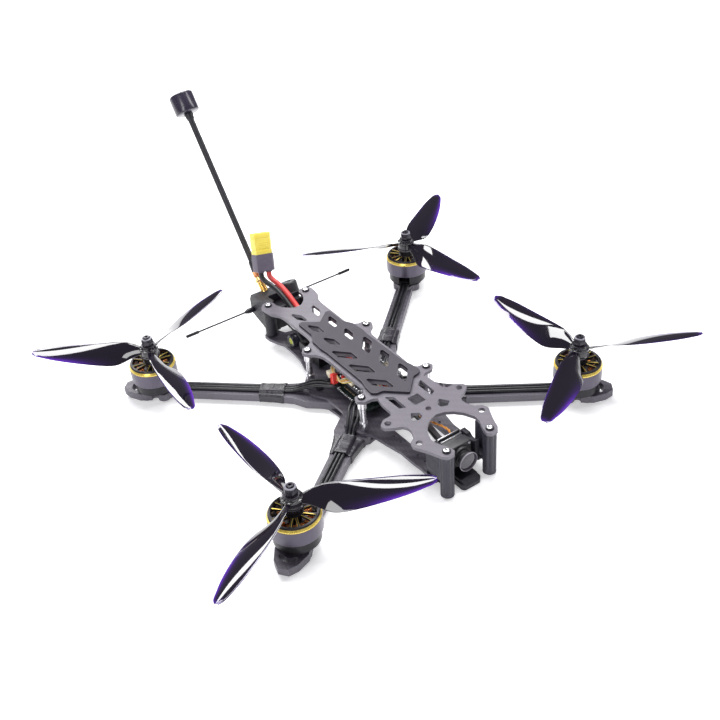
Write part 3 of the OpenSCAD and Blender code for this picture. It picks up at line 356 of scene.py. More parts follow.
class Shape:
    """Collects points, faces and material numbers, in millimetres."""

    def __init__(self):
        self.points, self.faces, self.marks, self.thin = [], [], [], []

    def add(self, points, faces, mark=0, turn=None, thin=None):
        base = len(self.points)
        turn = turn or Matrix.Identity(4)
        self.points += [turn @ Vector(p) for p in points]
        self.thin += list(thin) if thin else [0.0] * len(points)
        flip = turn.determinant() < 0
        for face in faces:
            face = [base + i for i in face]
            self.faces.append(face[::-1] if flip else face)
        self.marks += mark if isinstance(mark, list) else [mark] * len(faces)

    def loft(self, rings, mark=0, turn=None, caps=True, thin=None, closed=False):
        """Skins a row of rings of equal length; mark may be one number or one for each gap."""
        n, count = len(rings[0]), len(rings)
        gaps = count if closed else count - 1
        marks = mark if isinstance(mark, list) else [mark] * gaps
        faces = []
        for i in range(gaps):
            after = (i + 1) % count
            for k in range(n):
                j = (k + 1) % n
                faces.append((i * n + k, i * n + j, after * n + j, after * n + k))
        tones = [tone for tone in marks[:gaps] for _ in range(n)]
        if caps and not closed:
            faces += [tuple(range(n))[::-1], tuple((count - 1) * n + k for k in range(n))]
            tones += [marks[0], marks[-1]]
        self.add([p for ring in rings for p in ring], faces, tones, turn, thin)

    def lathe(self, profile, n=48, mark=0, turn=None, hexes=(), closed=False, soft=0, form=None):
        """Turns (r, z) points round Z, with their corners rounded by soft. Numbers in hexes are hexagons."""
        rings = []
        for i, (r, z) in enumerate(fillet(profile, soft) if soft else profile):
            ring = []
            for angle in [2 * pi * k / n for k in range(n)]:
                reach = hex_radius(r, angle) if i in hexes else r
                reach = form(reach, angle, z) if form else reach
                ring.append((reach * cos(angle), reach * sin(angle), z))
            rings.append(ring)
        self.loft(rings, mark, turn, closed=closed)

    def tube(self, path, radius, n=12, mark=0, turn=None):
        side = None
        rings = []
        last = len(path) - 1
        for i, p in enumerate(path):
            ahead = (path[min(last, i + 1)] - path[max(0, i - 1)]).normalized()
            if side is None:
                side = ahead.cross(Vector((0, 0, 1)) if abs(ahead.z) < 0.9 else Vector((1, 0, 0)))
            side = (side - ahead * side.dot(ahead)).normalized()
            up = ahead.cross(side)
            rings.append([p + (side * cos(a) + up * sin(a)) * radius
                          for a in [2 * pi * k / n for k in range(n)]])
        self.loft(rings, mark, turn)

    def box(self, low, high, edge=0.2, mark=0, turn=None, steps=2):
        low, high = Vector(low), Vector(high)
        size = high - low
        bm = bmesh.new()
        bmesh.ops.create_cube(bm, size=1)
        for v in bm.verts:
            v.co = Vector([low[i] + size[i] * (v.co[i] + 0.5) for i in range(3)])
        bmesh.ops.bevel(bm, geom=list(bm.edges), offset=min(edge, min(size) * 0.45), segments=steps,
                        profile=0.5, affect="EDGES")
        bm.verts.index_update()
        self.add([v.co.copy() for v in bm.verts], [[v.index for v in f.verts] for f in bm.faces], mark, turn)
        bm.free()

    def block(self, x, y, z, w, d, h, edge, mark=0):
        """A box centred on x and y that stands on z."""
        self.box((x - w / 2, y - d / 2, z), (x + w / 2, y + d / 2, z + h), edge, mark)

    def dome(self, x, y, z, r, h, mark=1):
        self.lathe([(r, z), (r * 0.98, z + h * 0.3), (r * 0.8, z + h * 0.7), (r * 0.45, z + h * 0.94),
                    (0.05, z + h)], 18, mark, turned((x, y, 0)))

    def mesh(self, name, sharp=35, thin=False):
        data = bpy.data.meshes.new(name)
        data.from_pydata([p * MM for p in self.points], [], self.faces)
        data.polygons.foreach_set("material_index", self.marks)
        if thin:
            data.attributes.new("thin", "FLOAT", "POINT").data.foreach_set("value", self.thin)
        finish_mesh(data, sharp)
        return data


def finish_mesh(data, sharp=35):
    """Outward normals and smooth faces, with a crease only at edges sharper than sharp, in degrees."""
    bm = bmesh.new()
    bm.from_mesh(data)
    bmesh.ops.recalc_face_normals(bm, faces=list(bm.faces))
    for face in bm.faces:
        face.smooth = True
    for edge in bm.edges:
        if len(edge.link_faces) == 2:
            edge.smooth = edge.calc_face_angle(0) < radians(sharp)
    bm.to_mesh(data)
    bm.free()
    data.update()


def piece(name, data, mats, body, nodes=(), place=None):
    obj = add_object(name, data, place)
    if not data.materials:
        for m in mats:
            data.materials.append(M[m])
    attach(obj, body)
    if nodes:
        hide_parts(*nodes)
    return obj


def part(shape, node, mats, slot, sharp=35, body="frame", place=None):
    """A detailed piece that takes one CAD node's place."""
    name = node + "_fine"
    return piece(name, shape.mesh(name, sharp), mats, body, (node,), place)


def refine(node, edge, mats, steps=2):
    """A copy of a CAD node with its edges rounded; the rounded strips take the second material, a lighter
    tone that paints a highlight along the edges.
    """
    bm = bmesh.new()
    bm.from_mesh(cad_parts[node].data)
    bmesh.ops.remove_doubles(bm, verts=list(bm.verts), dist=WELD)
    bmesh.ops.dissolve_limit(bm, angle_limit=radians(FLAT_DEGREES), verts=list(bm.verts),
                             edges=list(bm.edges))
    for face in bm.faces:
        face.material_index = 0
    corners = [e for e in bm.edges
               if len(e.link_faces) == 2 and e.calc_face_angle(0) > radians(EDGE_DEGREES)]
    bmesh.ops.bevel(bm, geom=corners, offset=edge * MM, offset_type="OFFSET", segments=steps, profile=0.5,
                    affect="EDGES", clamp_overlap=True, material=1 if len(mats) > 1 else -1)
    data = bpy.data.meshes.new(node + "_fine")
    bm.to_mesh(data)
    bm.free()
    finish_mesh(data)
    obj = piece(node + "_fine", data, mats, "frame", (node,))
    obj.modifiers.new("flat_faces", "WEIGHTED_NORMAL").keep_sharp = True


def turned(at=(0, 0, 0), x=0, y=0, z=0):
    """Placement in millimetres: turned about X, then Y, then Z, in degrees, then moved."""
    turn = Matrix.Translation(Vector(at))
    for angle, axis in ((z, "Z"), (y, "Y"), (x, "X")):
        turn = turn @ Matrix.Rotation(radians(angle), 4, axis)
    return turn


def in_metres(placement):
    """The same placement, whose shift was in millimetres, in metres."""
    turn = placement.copy()
    turn.translation = placement.translation * MM
    return turn


def both(points, z):
    return [(side * p[0], p[1], z) for p in points for side in SIDES]


# ---- levels and places, in millimetres

ARM_Z, MAIN_Z, DECK_Z, ROOF_Z = 2.5, 8.5, 11, 38.5
MOTOR = (120.4, 102.3)
FRONT_HUB, REAR_HUB = -12, -10.2
FRONT_LEN = hypot(MOTOR[0], MOTOR[1] + FRONT_HUB)
REAR_LEN = hypot(MOTOR[0], MOTOR[1] - REAR_HUB)
FRONT_TURN = degrees(atan2(-MOTOR[1] - FRONT_HUB, MOTOR[0]))
REAR_TURN = degrees(atan2(MOTOR[1] - REAR_HUB, MOTOR[0]))
FRONT_POST, REAR_POST = (18.1, -124.2), (17.6, 101.3)
FRONT_SPACER, REAR_SPACER = (28.2, -43.6), (26.6, 28.7)
ROTORS = [("front_right", -1, -1, -28.5), ("rear_right", -1, 1, 23.5),
          ("front_left", 1, -1, -30), ("rear_left", 1, 1, 34.2)]
CAMERA = Vector((0, -110, 19.5))
ANTENNA = turned((-4, 131.2, 32), x=-36)
PLUG = turned((-4.5, 125, 55), x=-20, y=12)


# ---- battery leads and plug

RED_ROUTE = [(4, 7, 20.3), (4, 16, 20.5), (4.2, 24, 23.6), (4.6, 33, 28), (4.4, 48, 30), (3.6, 66, 30.2),
             (2.8, 80, 31), (2.4, 88, 33.6), (2.2, 95, 37), (2, 102, 40.4), (1.6, 109, 43.2),
             (0.6, 115.4, 45.4), (-0.9, 120.4, 47.4), (-1.9, 123.3, 50.2), (-1, 125.1, 54.4)]
BLACK_ROUTE = [(-4, 7, 20.3), (-4, 16, 20.5), (-3.4, 24, 23.6), (-2, 33, 28), (-1.2, 48, 30),
               (-1.6, 66, 30.2), (-2, 80, 31), (-2.4, 88, 33.6), (-2.6, 95, 37), (-3, 102, 40.6),
               (-3.8, 109, 43.6), (-5.4, 115.4, 46), (-7.6, 120.2, 48.4), (-8.8, 123.2, 51.6),
               (-8, 125.1, 55.9)]
LEAD_R = 2.1
COVER_H, HOUSING_H = 14, 17


def plug_ring(w, d, z, inset):
    """Outline of the plug: square on one side, bevelled on the other."""
    half, deep = w / 2 - inset, d / 2 - inset
    corner, bevel_x, bevel_y = 0.5, 2.6, 2.4
    corners = [Vector(p) for p in ((-half, -deep), (half - bevel_x, -deep), (half, -deep + bevel_y),
                                   (half, deep - bevel_y), (half - bevel_x, deep), (-half, deep))]
    ring = []
    for i, b in enumerate(corners):
        start = b + (corners[i - 1] - b).normalized() * corner
        end = b + (corners[(i + 1) % 6] - b).normalized() * corner
        ring += [(*bend(start, b, end, t), z) for t in (0, 0.25, 0.5, 0.75, 1)]
    return ring


def make_plug():
    cover, housing, contacts = Shape(), Shape(), Shape()
    rings = [(0, 1.6), (0, 0.5), (0.5, 0.05), (13, 0.05), (13.6, 0.25), (14, 0.25), (14, 1.2)]
    cover.loft([plug_ring(17, 9, z, inset) for z, inset in rings])
    rings = [(0, 0.9), (0, 0.1), (0.3, 0), (3, 0), (3.3, 0.35), (4.1, 0.35), (4.4, 0), (12.2, 0),
             (12.5, 0.25), (13, 0.25), (13.3, 0), (16.4, 0), (16.85, 0.2), (17, 0.6), (17, 0.9)]
    housing.loft([plug_ring(16.2, 8.2, COVER_H + z, inset) for z, inset in rings])
    for side in SIDES:
        cover.lathe([(2.3, 0.2), (2.9, 0.2), (2.8, -1), (2.35, -1)], 24, 0, turned((side * 3.6, 0, 0)),
                    soft=0.2)
        place = turned((side * 3.7, 0, 0))
        top = COVER_H + HOUSING_H
        housing.lathe(lifted(top, [(2, -0.4), (2, 0.02), (2.9, 0.02), (3.1, -0.15), (3.1, -0.4)]),
                      32, 0, place)
        contacts.lathe(lifted(top, [(0.3, -5), (1.2, -5), (1.2, 0.08), (1.55, 0.12), (1.9, 0.08),
                                    (1.95, -5.2), (0.3, -5.2)]), 32, 0, place, soft=0.1)
    for z in (5.6, 7.2, 8.8):
        for deep in SIDES:
            housing.block(-0.5, deep * 4.1, COVER_H + z, 8.2, 0.36, 0.7, 0.15)
    place = in_metres(PLUG)
    return [part(cover, "plug_cover", ["plug_grey"], "plug_grey", place=place),
            part(housing, "plug_housing", ["yellow"], "plug_yellow", place=place),
            part(contacts, "plug_contacts", ["brass"], "brass", place=place)]


def make_lead(name, route, mat):
    points = [p * MM for p in smooth_route(route, 4)]
    curve = bpy.data.curves.new(name + "_fine", "CURVE")
    curve.dimensions = "3D"
    curve.bevel_depth, curve.bevel_resolution = LEAD_R * MM, 8
    curve.use_fill_caps = True
    spline = curve.splines.new("POLY")
    spline.points.add(len(points) - 1)
    for target, p in zip(spline.points, points):
        target.co = (*p, 1)
    spline.use_smooth = True
    curve.materials.append(M[mat])
    obj = add_object(name + "_fine", curve)
    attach(obj, "frame")
    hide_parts(name)


# ---- plates, arms and fasteners

def button_head(shape, turn, r=2.85, h=1.65, socket=1.25, depth=1, n=48):
    """Domed screw head with a hexagonal socket: black outside, with bright metal in the socket and over the
    dome's crown as a painted highlight.
    """
    shoulder, crest, crown = 0.38, socket * 0.86, 1.25
    profile = [(r * 0.93, 0), (r, 0.12), (r, shoulder)]
    for a in [k / 6 * crown for k in range(1, 7)]:
        profile.append((crest + (r - crest) * cos(a), shoulder + (h - shoulder) * sin(a) / sin(crown)))
    domed = len(profile)
    profile += [(socket * 1.12, h), (socket * 1.06, h - 0.12), (socket, h - 0.2), (socket, h - depth),
                (socket * 0.9, h - depth), (0.05, h - depth - 0.25)]
    count = len(profile)
    # The dome's last rings and the socket take the bright metal: a painted highlight.
    marks = [0] * (domed - 2) + [1] * (count - 1 - (domed - 2))
    shape.lathe(profile, n, marks, turn, hexes=range(domed + 2, count))


def make_fasteners():
    shape = Shape()
    for at in both([FRONT_POST, FRONT_SPACER, REAR_SPACER, REAR_POST], ROOF_Z):
        button_head(shape, turned(at, z=rng.uniform(0, 60)))
        shape.lathe([(1.3, -8.4), (1.5, -8.1), (1.5, 0.1)], 20, 0, turned(at))
    part(shape, "top_screws", ["black_metal", "socket"], "black_metal", 28)
    shape = Shape()
    for at in both([FRONT_SPACER, REAR_SPACER], DECK_Z):
        shape.lathe([(1.7, 0.02), (3.05, 0.02), (3.05, 6.2), (2.4, 7), (2.4, 18), (3.25, 18.8),
                     (3.25, 24.98), (1.7, 24.98)], 40, 0, turned(at), soft=0.22)
    part(shape, "standoffs", ["alu"], "spacer_metal", 40)
    shape = Shape()
    for at in both([REAR_POST], DECK_Z):
        shape.lathe([(1.7, 0.02), (2.6, 0.02), (2.6, 24.98), (1.7, 24.98)], 36, 0, turned(at), soft=0.25)
    part(shape, "rear_posts", ["black_metal"], "black_metal", 40)
    for node in ("lower_screws", "motor_screws"):
        refine(node, 0.12, ["black_metal"])


def fluted(r, angle, z):
    """Eight shallow flutes down a corner post's column."""
    return r - 0.5 * (0.5 + 0.5 * cos(8 * angle)) ** 2 if 1.9 < z < 35 else r


def make_corner_posts():
    shape = Shape()
    for side in SIDES:
        x, y = side * FRONT_POST[0], FRONT_POST[1]
        profile = [(2.9, 2.7), (2.9, 0.75), (3.1, 0.6), (3.7, 0.62), (4, 0.8), (4.75, 1.6), (4.8, 2.2)]
        profile += [(4.8, 2.2 + k * 4.1) for k in range(1, 8)]
        profile += [(4.8, 34.9), (4.75, 35.4), (4.6, 35.95), (1.6, 35.95)]
        shape.lathe(profile, 96, 0, turned((x, y, 0)), form=fluted)
        for inner, height, edge in ((19.5, 22.6, 0.5), (14.5, 3, 0.6)):
            shape.block(side * (inner + 22.1) / 2, y + 9.5, DECK_Z, 22.1 - inner, 15, height, edge)
        for z in (14.4, 18.4, 22.4, 26.4):
            shape.block(side * 21.65, y + 10.25, z, 0.9, 11.5, 0.9, 0.2)
    part(shape, "corner_posts", ["grey_print"], "moulded_grey", 40)


def make_frame():
    # The second material of the plates, arms and pad is a lighter tone on their rounded edge strips: a
    # painted edge highlight.
    refine("top_plate", 0.32, ["plate", "plate_edge"])
    refine("main_plate", 0.3, ["arm", "arm_edge"])
    refine("clamp_plate", 0.3, ["arm", "arm_edge"])
    refine("battery_pad", 0.4, ["pad", "pad_edge"])
    for row in ROTORS:
        refine("arm_" + row[0], 0.4, ["arm", "arm_edge"])
    # The grey print on the rounded edges of these black printed parts is a painted edge highlight.
    refine("chin_guard", 0.7, ["black_print", "grey_print"], 3)
    refine("rear_mount", 0.8, ["black_print", "grey_print"], 3)
    refine("camera_cheeks", 0.5, ["black_print"], 3)
    make_fasteners()
    make_corner_posts()


# ---- motor wires and wraps

FRONT_WIRES = [(109.2, -93.9, 10.2), (98, -85.5, 9.8), (80, -72, 9.8), (60, -57, 9.8), (47, -47.2, 9.8),
               (40.6, -42.4, 10.05), (36, -38.6, 13.2), (31, -34.4, 16.4), (27, -30, 18.6),
               (23.4, -27.4, 19.4), (19.4, -26.6, 19.4)]
REAR_WIRES = [(110, 92.6, 10.2), (100, 83.3, 9.8), (80, 64.6, 9.8), (62, 47.8, 9.8), (47, 33.8, 9.8),
              (41, 28.2, 10.8), (36.4, 23.4, 13.4), (32, 18.6, 16.4), (27.8, 12, 18.8), (23.6, 6.4, 19.4),
              (19.4, 4.6, 19.4)]
WIRE_R, WIRE_STEP = 1.2, 2.7
WRAP_LEN, WRAP_SKIN, WRAP_INSIDE = 19, 0.55, 0.12


def wire_path(route, n, across):
    """The route of wire n, beside the middle wire on the arm and fanned out at the pads."""
    last = len(route) - 1
    out = []
    for i, p in enumerate(route):
        apart = Vector(across) * WIRE_STEP * n * (1 if i < last - 3 else 1.3)
        out.append(Vector(p) + (apart if i < last - 1 else Vector((0, 4.4 * n, 0))))
    return out


def make_motor_wires():
    shape = Shape()
    for side in SIDES:
        flip = Matrix.Scale(side, 4, (1, 0, 0))
        for n in (-1, 0, 1):
            for route, across in ((FRONT_WIRES, (0.6, 0.8, 0)), (REAR_WIRES, (-0.683, 0.73, 0))):
                shape.tube(smooth_route(wire_path(route, n, across), 5), WIRE_R, 14, 0, flip)
    part(shape, "motor_wires", ["wire"], "wire_black", 50)


def wrap_half_width(u, reach):
    """Half the width of an arm at the distance u from the middle of the frame."""
    stops = [(46, 13.4), (56, 9.2), (74, 7.3), (reach - 12, 6.6)]
    for (u0, w0), (u1, w1) in zip(stops, stops[1:]):
        if u < u1:
            break
    return w0 + (w1 - w0) * max(0, u - u0) / (u1 - u0)


def wrap_ring(u, reach, skin, seed):
    """Section of a tape sleeve round an arm and the wires on it."""
    half = wrap_half_width(u, reach)
    low, top, crown = ARM_Z, MAIN_Z, MAIN_Z + 2.55
    corners = [Vector(p) for p in ((-half, low), (half, low), (half, top), (5.3, top + 0.4), (4.2, crown),
                                   (-4.2, crown), (-5.3, top + 0.4), (-half, top))]
    out = []
    for i, b in enumerate(corners):
        a, c = corners[i - 1], corners[(i + 1) % 8]
        cut = min(0.9, (a - b).length * 0.4, (c - b).length * 0.4)
        start, end = b + (a - b).normalized() * cut, b + (c - b).normalized() * cut
        out += [bend(start, b, end, t) for t in (0, 0.33, 0.67, 1)]
        after = c + (b - c).normalized() * min(0.9, (c - b).length * 0.4)
        out += [end + (after - end) * t for t in (0.25, 0.5, 0.75)]
    ring = []
    for k, p in enumerate(out):
        ahead = (out[(k + 1) % len(out)] - out[k - 1]).normalized()
        swell = 0
        if skin == WRAP_SKIN:
            fold = noise.noise(Vector((u * 0.42 + seed, p.x * 0.1 + p.y * 0.16, seed * 1.7)))
            line = noise.noise(Vector((u * 1.5 + p.x * 0.22, p.y * 0.25, seed + 9)))
            lap = (u * 0.115 + seed + p.x * 0.012) % 1
            swell = 0.12 * fold + 0.05 * line + 0.16 * ease(lap, 0.56, 0.6) * (1 - ease(lap, 0.97, 1))
        q = p + Vector((ahead.y, -ahead.x)) * (skin + swell)
        ring.append((u, q.x, q.y))
    return ring


def make_wraps():
    shape = Shape()
    steps, number = 44, 0
    for side in SIDES:
        for hub, turn, reach, start in ((FRONT_HUB, FRONT_TURN, FRONT_LEN, 51),
                                        (REAR_HUB, REAR_TURN, REAR_LEN, 64)):
            number += 1
            place = Matrix.Scale(side, 4, (1, 0, 0)) @ turned((0, hub, 0), z=turn)
            rings = [wrap_ring(start + WRAP_LEN * k / steps, reach, skin, number * 3.1)
                     for skin, places in ((WRAP_SKIN, range(steps + 1)), (WRAP_INSIDE, (steps, 0)))
                     for k in places]
            shape.loft(rings, 0, place, closed=True)
    part(shape, "wire_wraps", ["tape"], "tape_black", 50)


# ---- motors and propellers

BELL_R, BELL_LOW, RING_Z, BELL_TOP, BOSS_TOP = 17.4, 18.5, 30.8, 33.2, 36.8
STATOR_LOW, STATOR_TOP = 19.3, 28.3
PROP_LOW, PROP_HIGH, WASHER_TOP, NUT_TOP = 36.85, 46.65, 47.65, 53.65
PROP_R, PITCH, ROOT_ANGLE, RISE = 88.9, 106, 40, 3
LEAD_EDGE = [(0.06, 3.2), (0.12, 5), (0.2, 6.8), (0.28, 7.4), (0.4, 7.2), (0.6, 6.4), (0.8, 5.2),
             (0.92, 3.6), (0.97, 2.6), (1, 0.8)]
TRAIL_EDGE = [(0.06, -3.4), (0.12, -5), (0.2, -8.6), (0.28, -12), (0.4, -12.8), (0.6, -11.6), (0.8, -8.8),
              (0.92, -6), (0.97, -4.6), (1, -2.4)]
THICKNESS = [(0.06, 3.4), (0.12, 2.6), (0.2, 2), (0.4, 1.7), (0.7, 1.3), (1, 0.8)]


def lookup(f, table):
    """Smooth value of a table of (place, value) at f."""
    i = next((k for k in range(len(table) - 2) if f <= table[k + 1][0]), len(table) - 2)
    slopes = [(b[1] - a[1]) / (b[0] - a[0]) for a, b in zip(table, table[1:])]
    (x0, y0), (x1, y1) = table[i], table[i + 1]
    m0, m1 = [0 if beside * slopes[i] <= 0 else (beside + slopes[i]) / 2
              for beside in (slopes[max(0, i - 1)], slopes[min(len(slopes) - 1, i + 1)])]
    w = x1 - x0
    t = min(1, max(0, (f - x0) / w))
    return ((2 * t ** 3 - 3 * t * t + 1) * y0 + (t ** 3 - 2 * t * t + t) * w * m0
            + (3 * t * t - 2 * t ** 3) * y1 + (t ** 3 - t * t) * w * m1)


def section(count=13):
    """Closed wing section: (chord fraction, thickness fraction), upper side first."""
    upper, lower = [], []
    for k in range(count):
        p = 0.5 - 0.5 * cos(pi * k / (count - 1))
        half = 2.3 * (0.2969 * sqrt(p) - 0.126 * p - 0.3516 * p * p + 0.2843 * p ** 3 - 0.1036 * p ** 4)
        upper.append((p, half * 0.95 + (0.05 if 0 < k < count - 1 else 0)))
        lower.append((p, -half * 0.42))
    return upper + lower[-2:0:-1]


def make_blade(shape, turn, mirrored):
    stations = 46
    rings, thin = [], []
    for i in range(stations):
        f = 0.065 + (1 - 0.065) * (1 - (1 - i / (stations - 1)) ** 1.25)
        r = f * PROP_R
        lead, trail, thick = [lookup(f, table) for table in (LEAD_EDGE, TRAIL_EDGE, THICKNESS)]
        slope = min(radians(ROOT_ANGLE), atan(PITCH / (2 * pi * r)))
        ring = []
        for p, t in section():
            c = lead + (trail - lead) * p
            h = thick * t + 0.9 * sin(pi * p) * (1 - f * 0.5)
            y = c * cos(slope) - h * sin(slope)
            ring.append((r, -y if mirrored else y, c * sin(slope) + h * cos(slope) + RISE * f))
            back = ease(p, 0.66, 1) * ease(f, 0.22, 0.72)
            front = 0.7 * (1 - ease(p, 0, 0.09)) * ease(f, 0.2, 0.6)
            thin.append(min(1, max(back, front, 0.75 * ease(f, 0.93, 1))))
        rings.append(ring)
    shape.loft(rings, 0, turn, thin=thin)


def prop_mesh(name, mirrored, angle):
    shape = Shape()
    high = PROP_HIGH - PROP_LOW
    hub = fillet(lifted(PROP_LOW, [(2.6, 0), (6.9, 0), (7.2, 0.3), (7.2, 2.4), (6.5, 2.7), (6.5, 6.4),
                                   (7.1, 6.7), (7.1, high - 1.7), (5.6, high - 1.5), (5.4, high - 0.1),
                                   (4.9, high), (2.6, high)]), 0.25)
    shape.lathe([*hub, (2.56, PROP_HIGH - 0.3), (2.56, PROP_LOW + 0.3)], 64, 1, closed=True)
    for k in range(3):
        spin = angle + k * 120
        make_blade(shape, turned((0, 0, (PROP_LOW + PROP_HIGH) / 2 + 0.3), z=spin), mirrored)
        for a in (-34, 34):
            a = radians(spin + 60 + a)
            shape.lathe([(0.3, 0), (1, 0), (1, 1.2), (0.55, 1.7), (0.3, 1.7)], 16, 1,
                        turned((5.9 * cos(a), 5.9 * sin(a), PROP_HIGH - 2.6)), soft=0.15)
    return shape.mesh(name, 42, thin=True)


def nut_mesh():
    """A washer under a flanged lock nut with its plastic ring."""
    shape = Shape()
    shape.lathe([(2.62, PROP_HIGH + 0.06), (5.2, PROP_HIGH + 0.06), (5.4, PROP_HIGH + 0.25),
                 (5.4, WASHER_TOP - 0.15), (5.2, WASHER_TOP), (2.62, WASHER_TOP)], 48, 0, soft=0.08)
    profile = lifted(WASHER_TOP, [(2.62, 0.02), (3.9, 0.02), (4.5, 0.5), (4.6, 0.7)])
    profile += lifted(NUT_TOP, [(4.6, -2.2), (4.45, -1.95), (3.98, -1.6), (3.9, -1.5), (3.9, -0.6),
                                (3.7, -0.15), (3.45, 0), (2.95, 0), (2.75, -0.25), (2.62, -0.5)])
    shape.lathe(profile, 72, [0] * 8 + [1] * 5, hexes=(2, 3, 4, 5))
    return shape.mesh("prop_nut", 30)


def spoke(shape, turn):
    """One arm of the bell's top, wider at both ends, with gold top edges."""
    low, high = RING_Z + 0.2, BELL_TOP - 0.2
    ring = [(-0.65, low), (0.65, low), (0.65, high - 0.3), (0.4, high), (-0.4, high), (-0.65, high - 0.3)]
    stations = ((4.8, 1.5), (6.4, 1.35), (7.6, 1), (12.2, 1), (13.6, 1.25), (14.6, 1.7))
    n, count = len(ring), len(stations)
    faces = [(i * n + q, i * n + (q + 1) % n, (i + 1) * n + (q + 1) % n, (i + 1) * n + q)
             for i in range(count - 1) for q in range(n)]
    faces += [tuple(range(n))[::-1], tuple((count - 1) * n + q for q in range(n))]
    shape.add([(u, p[0] * wide, p[1]) for u, wide in stations for p in ring], faces,
              [2, 2, 1, 2, 1, 2] * (count - 1) + [2, 2], turn)


def bell_mesh():
    shape = Shape()
    inner = BELL_R - 3.1
    profile = lifted(BELL_LOW, [(inner + 0.2, 0.1), (inner + 0.5, 0), (BELL_R - 0.9, 0),
                                (BELL_R - 0.45, 0.08), (BELL_R - 0.1, 0.5), (BELL_R, 0.9)])
    profile += lifted(RING_Z, [(BELL_R, -0.9), (BELL_R - 0.12, -0.8), (BELL_R - 0.12, -0.45), (BELL_R, -0.35),
                               (BELL_R, -0.05), (BELL_R - 0.08, 0.1), (BELL_R - 0.86, 1.36),
                               (BELL_R - 0.9, 1.42)])
    profile += lifted(BELL_TOP, [(BELL_R - 1.42, -0.15), (BELL_R - 1.6, 0), (inner + 0.35, 0),
                                 (inner + 0.1, -0.15), (inner, -0.5)])
    profile.append((inner, RING_Z - 0.4))
    shape.lathe(profile, 96, [0] * 7 + [1] * 6 + [2] * 7, closed=True)
    for k in range(14):  # magnets
        shape.box((inner - 0.35, -2.55, BELL_LOW + 1.2), (inner + 0.15, 2.55, RING_Z - 1), 0.1, 3,
                  turned(z=k * 360 / 14))
    for k in range(6):
        for apart in (-11, 11):
            spoke(shape, turned(z=k * 60 + apart))
    shape.lathe([(2.2, RING_Z + 0.02), (6.4, RING_Z + 0.02), (6.4, BELL_TOP - 0.1), (6.1, BELL_TOP),
                 (5.7, BELL_TOP), (5.6, BELL_TOP + 0.3), (5.6, BOSS_TOP - 0.3), (5.2, BOSS_TOP),
                 (2.4, BOSS_TOP)], 48, 2, soft=0.2)
    shape.lathe([(1.2, 9.75), (1.9, 9.8), (2, 10.2), (2, RING_Z + 0.1)], 28, 4, soft=0.1)
    tip = NUT_TOP + 1
    profile = [(2.5, BOSS_TOP - 0.1)] + threads(BOSS_TOP + 0.6, tip - 1, 2.5, 2.3)
    profile += lifted(tip, [(2.5, -0.5), (2.1, -0.05), (1.25, 0), (1.15, -0.15), (1.1, -1.1), (0.1, -1.2)])
    shape.lathe(profile, 32, 4, hexes=(len(profile) - 3, len(profile) - 2))
    return shape.mesh("motor_bell", 30)


def threads(low, high, crest, root, pitch=0.5, half=0.2):
    """Profile of a screw thread, drawn as rings."""
    out = []
    z = low
    while z < high:
        out += [(crest, z), (root, z + half), (crest, z + 2 * half)]
        z += pitch
    return out


def windings_mesh():
    """Twelve wound teeth: wire turns round each tooth, laminated shoes outside."""
    shape = Shape()
    low, high, middle = STATOR_LOW + 1.5, STATOR_TOP - 1.5, (STATOR_LOW + STATOR_TOP) / 2
    shape.lathe([(4.5, low), (7, low), (7, high), (4.5, high)], 48, 1, closed=True, soft=0.2)
    for k in range(12):
        turn = turned(z=k * 30)
        shape.box((6.4, -1, low), (13, 1, high), 0.15, 1, turn)
        shoe = [(12.4 + cos(a) ** 0.5, 12.9 * sin(a)) for a in map(radians, (-12, -6, 0, 6, 12))]
        shape.loft([[(*p, z) for p in shoe + [(12.4, 2.6), (12.4, -2.6)]] for z in (low, high)], 1, turn)
        for t in range(6):
            loop = []
            for a in [2 * pi * q / 20 for q in range(20)]:
                loop.append(Vector((7.75 + 0.75 * t + 0.1 * sin(a),
                                    (1.42 + 0.05 * t) * max(-1, min(1, 1.35 * cos(a))),
                                    middle + 4.12 * max(-1, min(1, 1.18 * sin(a))))))
            rings = []
            for q in range(20):
                side = Vector((1, 0, 0))
                out = (loop[(q + 1) % 20] - loop[q - 1]).normalized().cross(side).normalized()
                rings.append([loop[q] + side * 0.36 * cos(b) + out * 0.36 * sin(b)
                              for b in [2 * pi * w / 6 for w in range(6)]])
            shape.loft(rings, 0, turn, closed=True)
    return shape.mesh("motor_windings", 60)


def make_motors():
    bell, nut, windings = bell_mesh(), nut_mesh(), windings_mesh()
    refine("motor_bases", 0.3, ["motor_black"])
    for index, (name, sx, sy, angle) in enumerate(ROTORS):
        body = name + "_rotor"
        place = in_metres(turned((sx * MOTOR[0], sy * MOTOR[1], 0)))
        nut_place = in_metres(turned((sx * MOTOR[0], sy * MOTOR[1], 0), z=12 + index * 17))
        prop = prop_mesh("propeller_" + name, sx * sy < 0, angle)
        piece("bell_" + name + "_fine", bell, ["bell", "gold", "spoke", "magnet", "nut"], body,
              ("bell_" + name,), place)
        piece("prop_" + name + "_fine", prop, ["blade", "hub"], body, ("prop_" + name,), place)
        piece("nut_" + name + "_fine", nut, ["nut", "nylon"], body, ("nut_" + name,), nut_place)
        piece("windings_" + name, windings, ["copper", "lamination"], "frame",
              ("windings",) if index == 0 else (), place)


# ---- camera

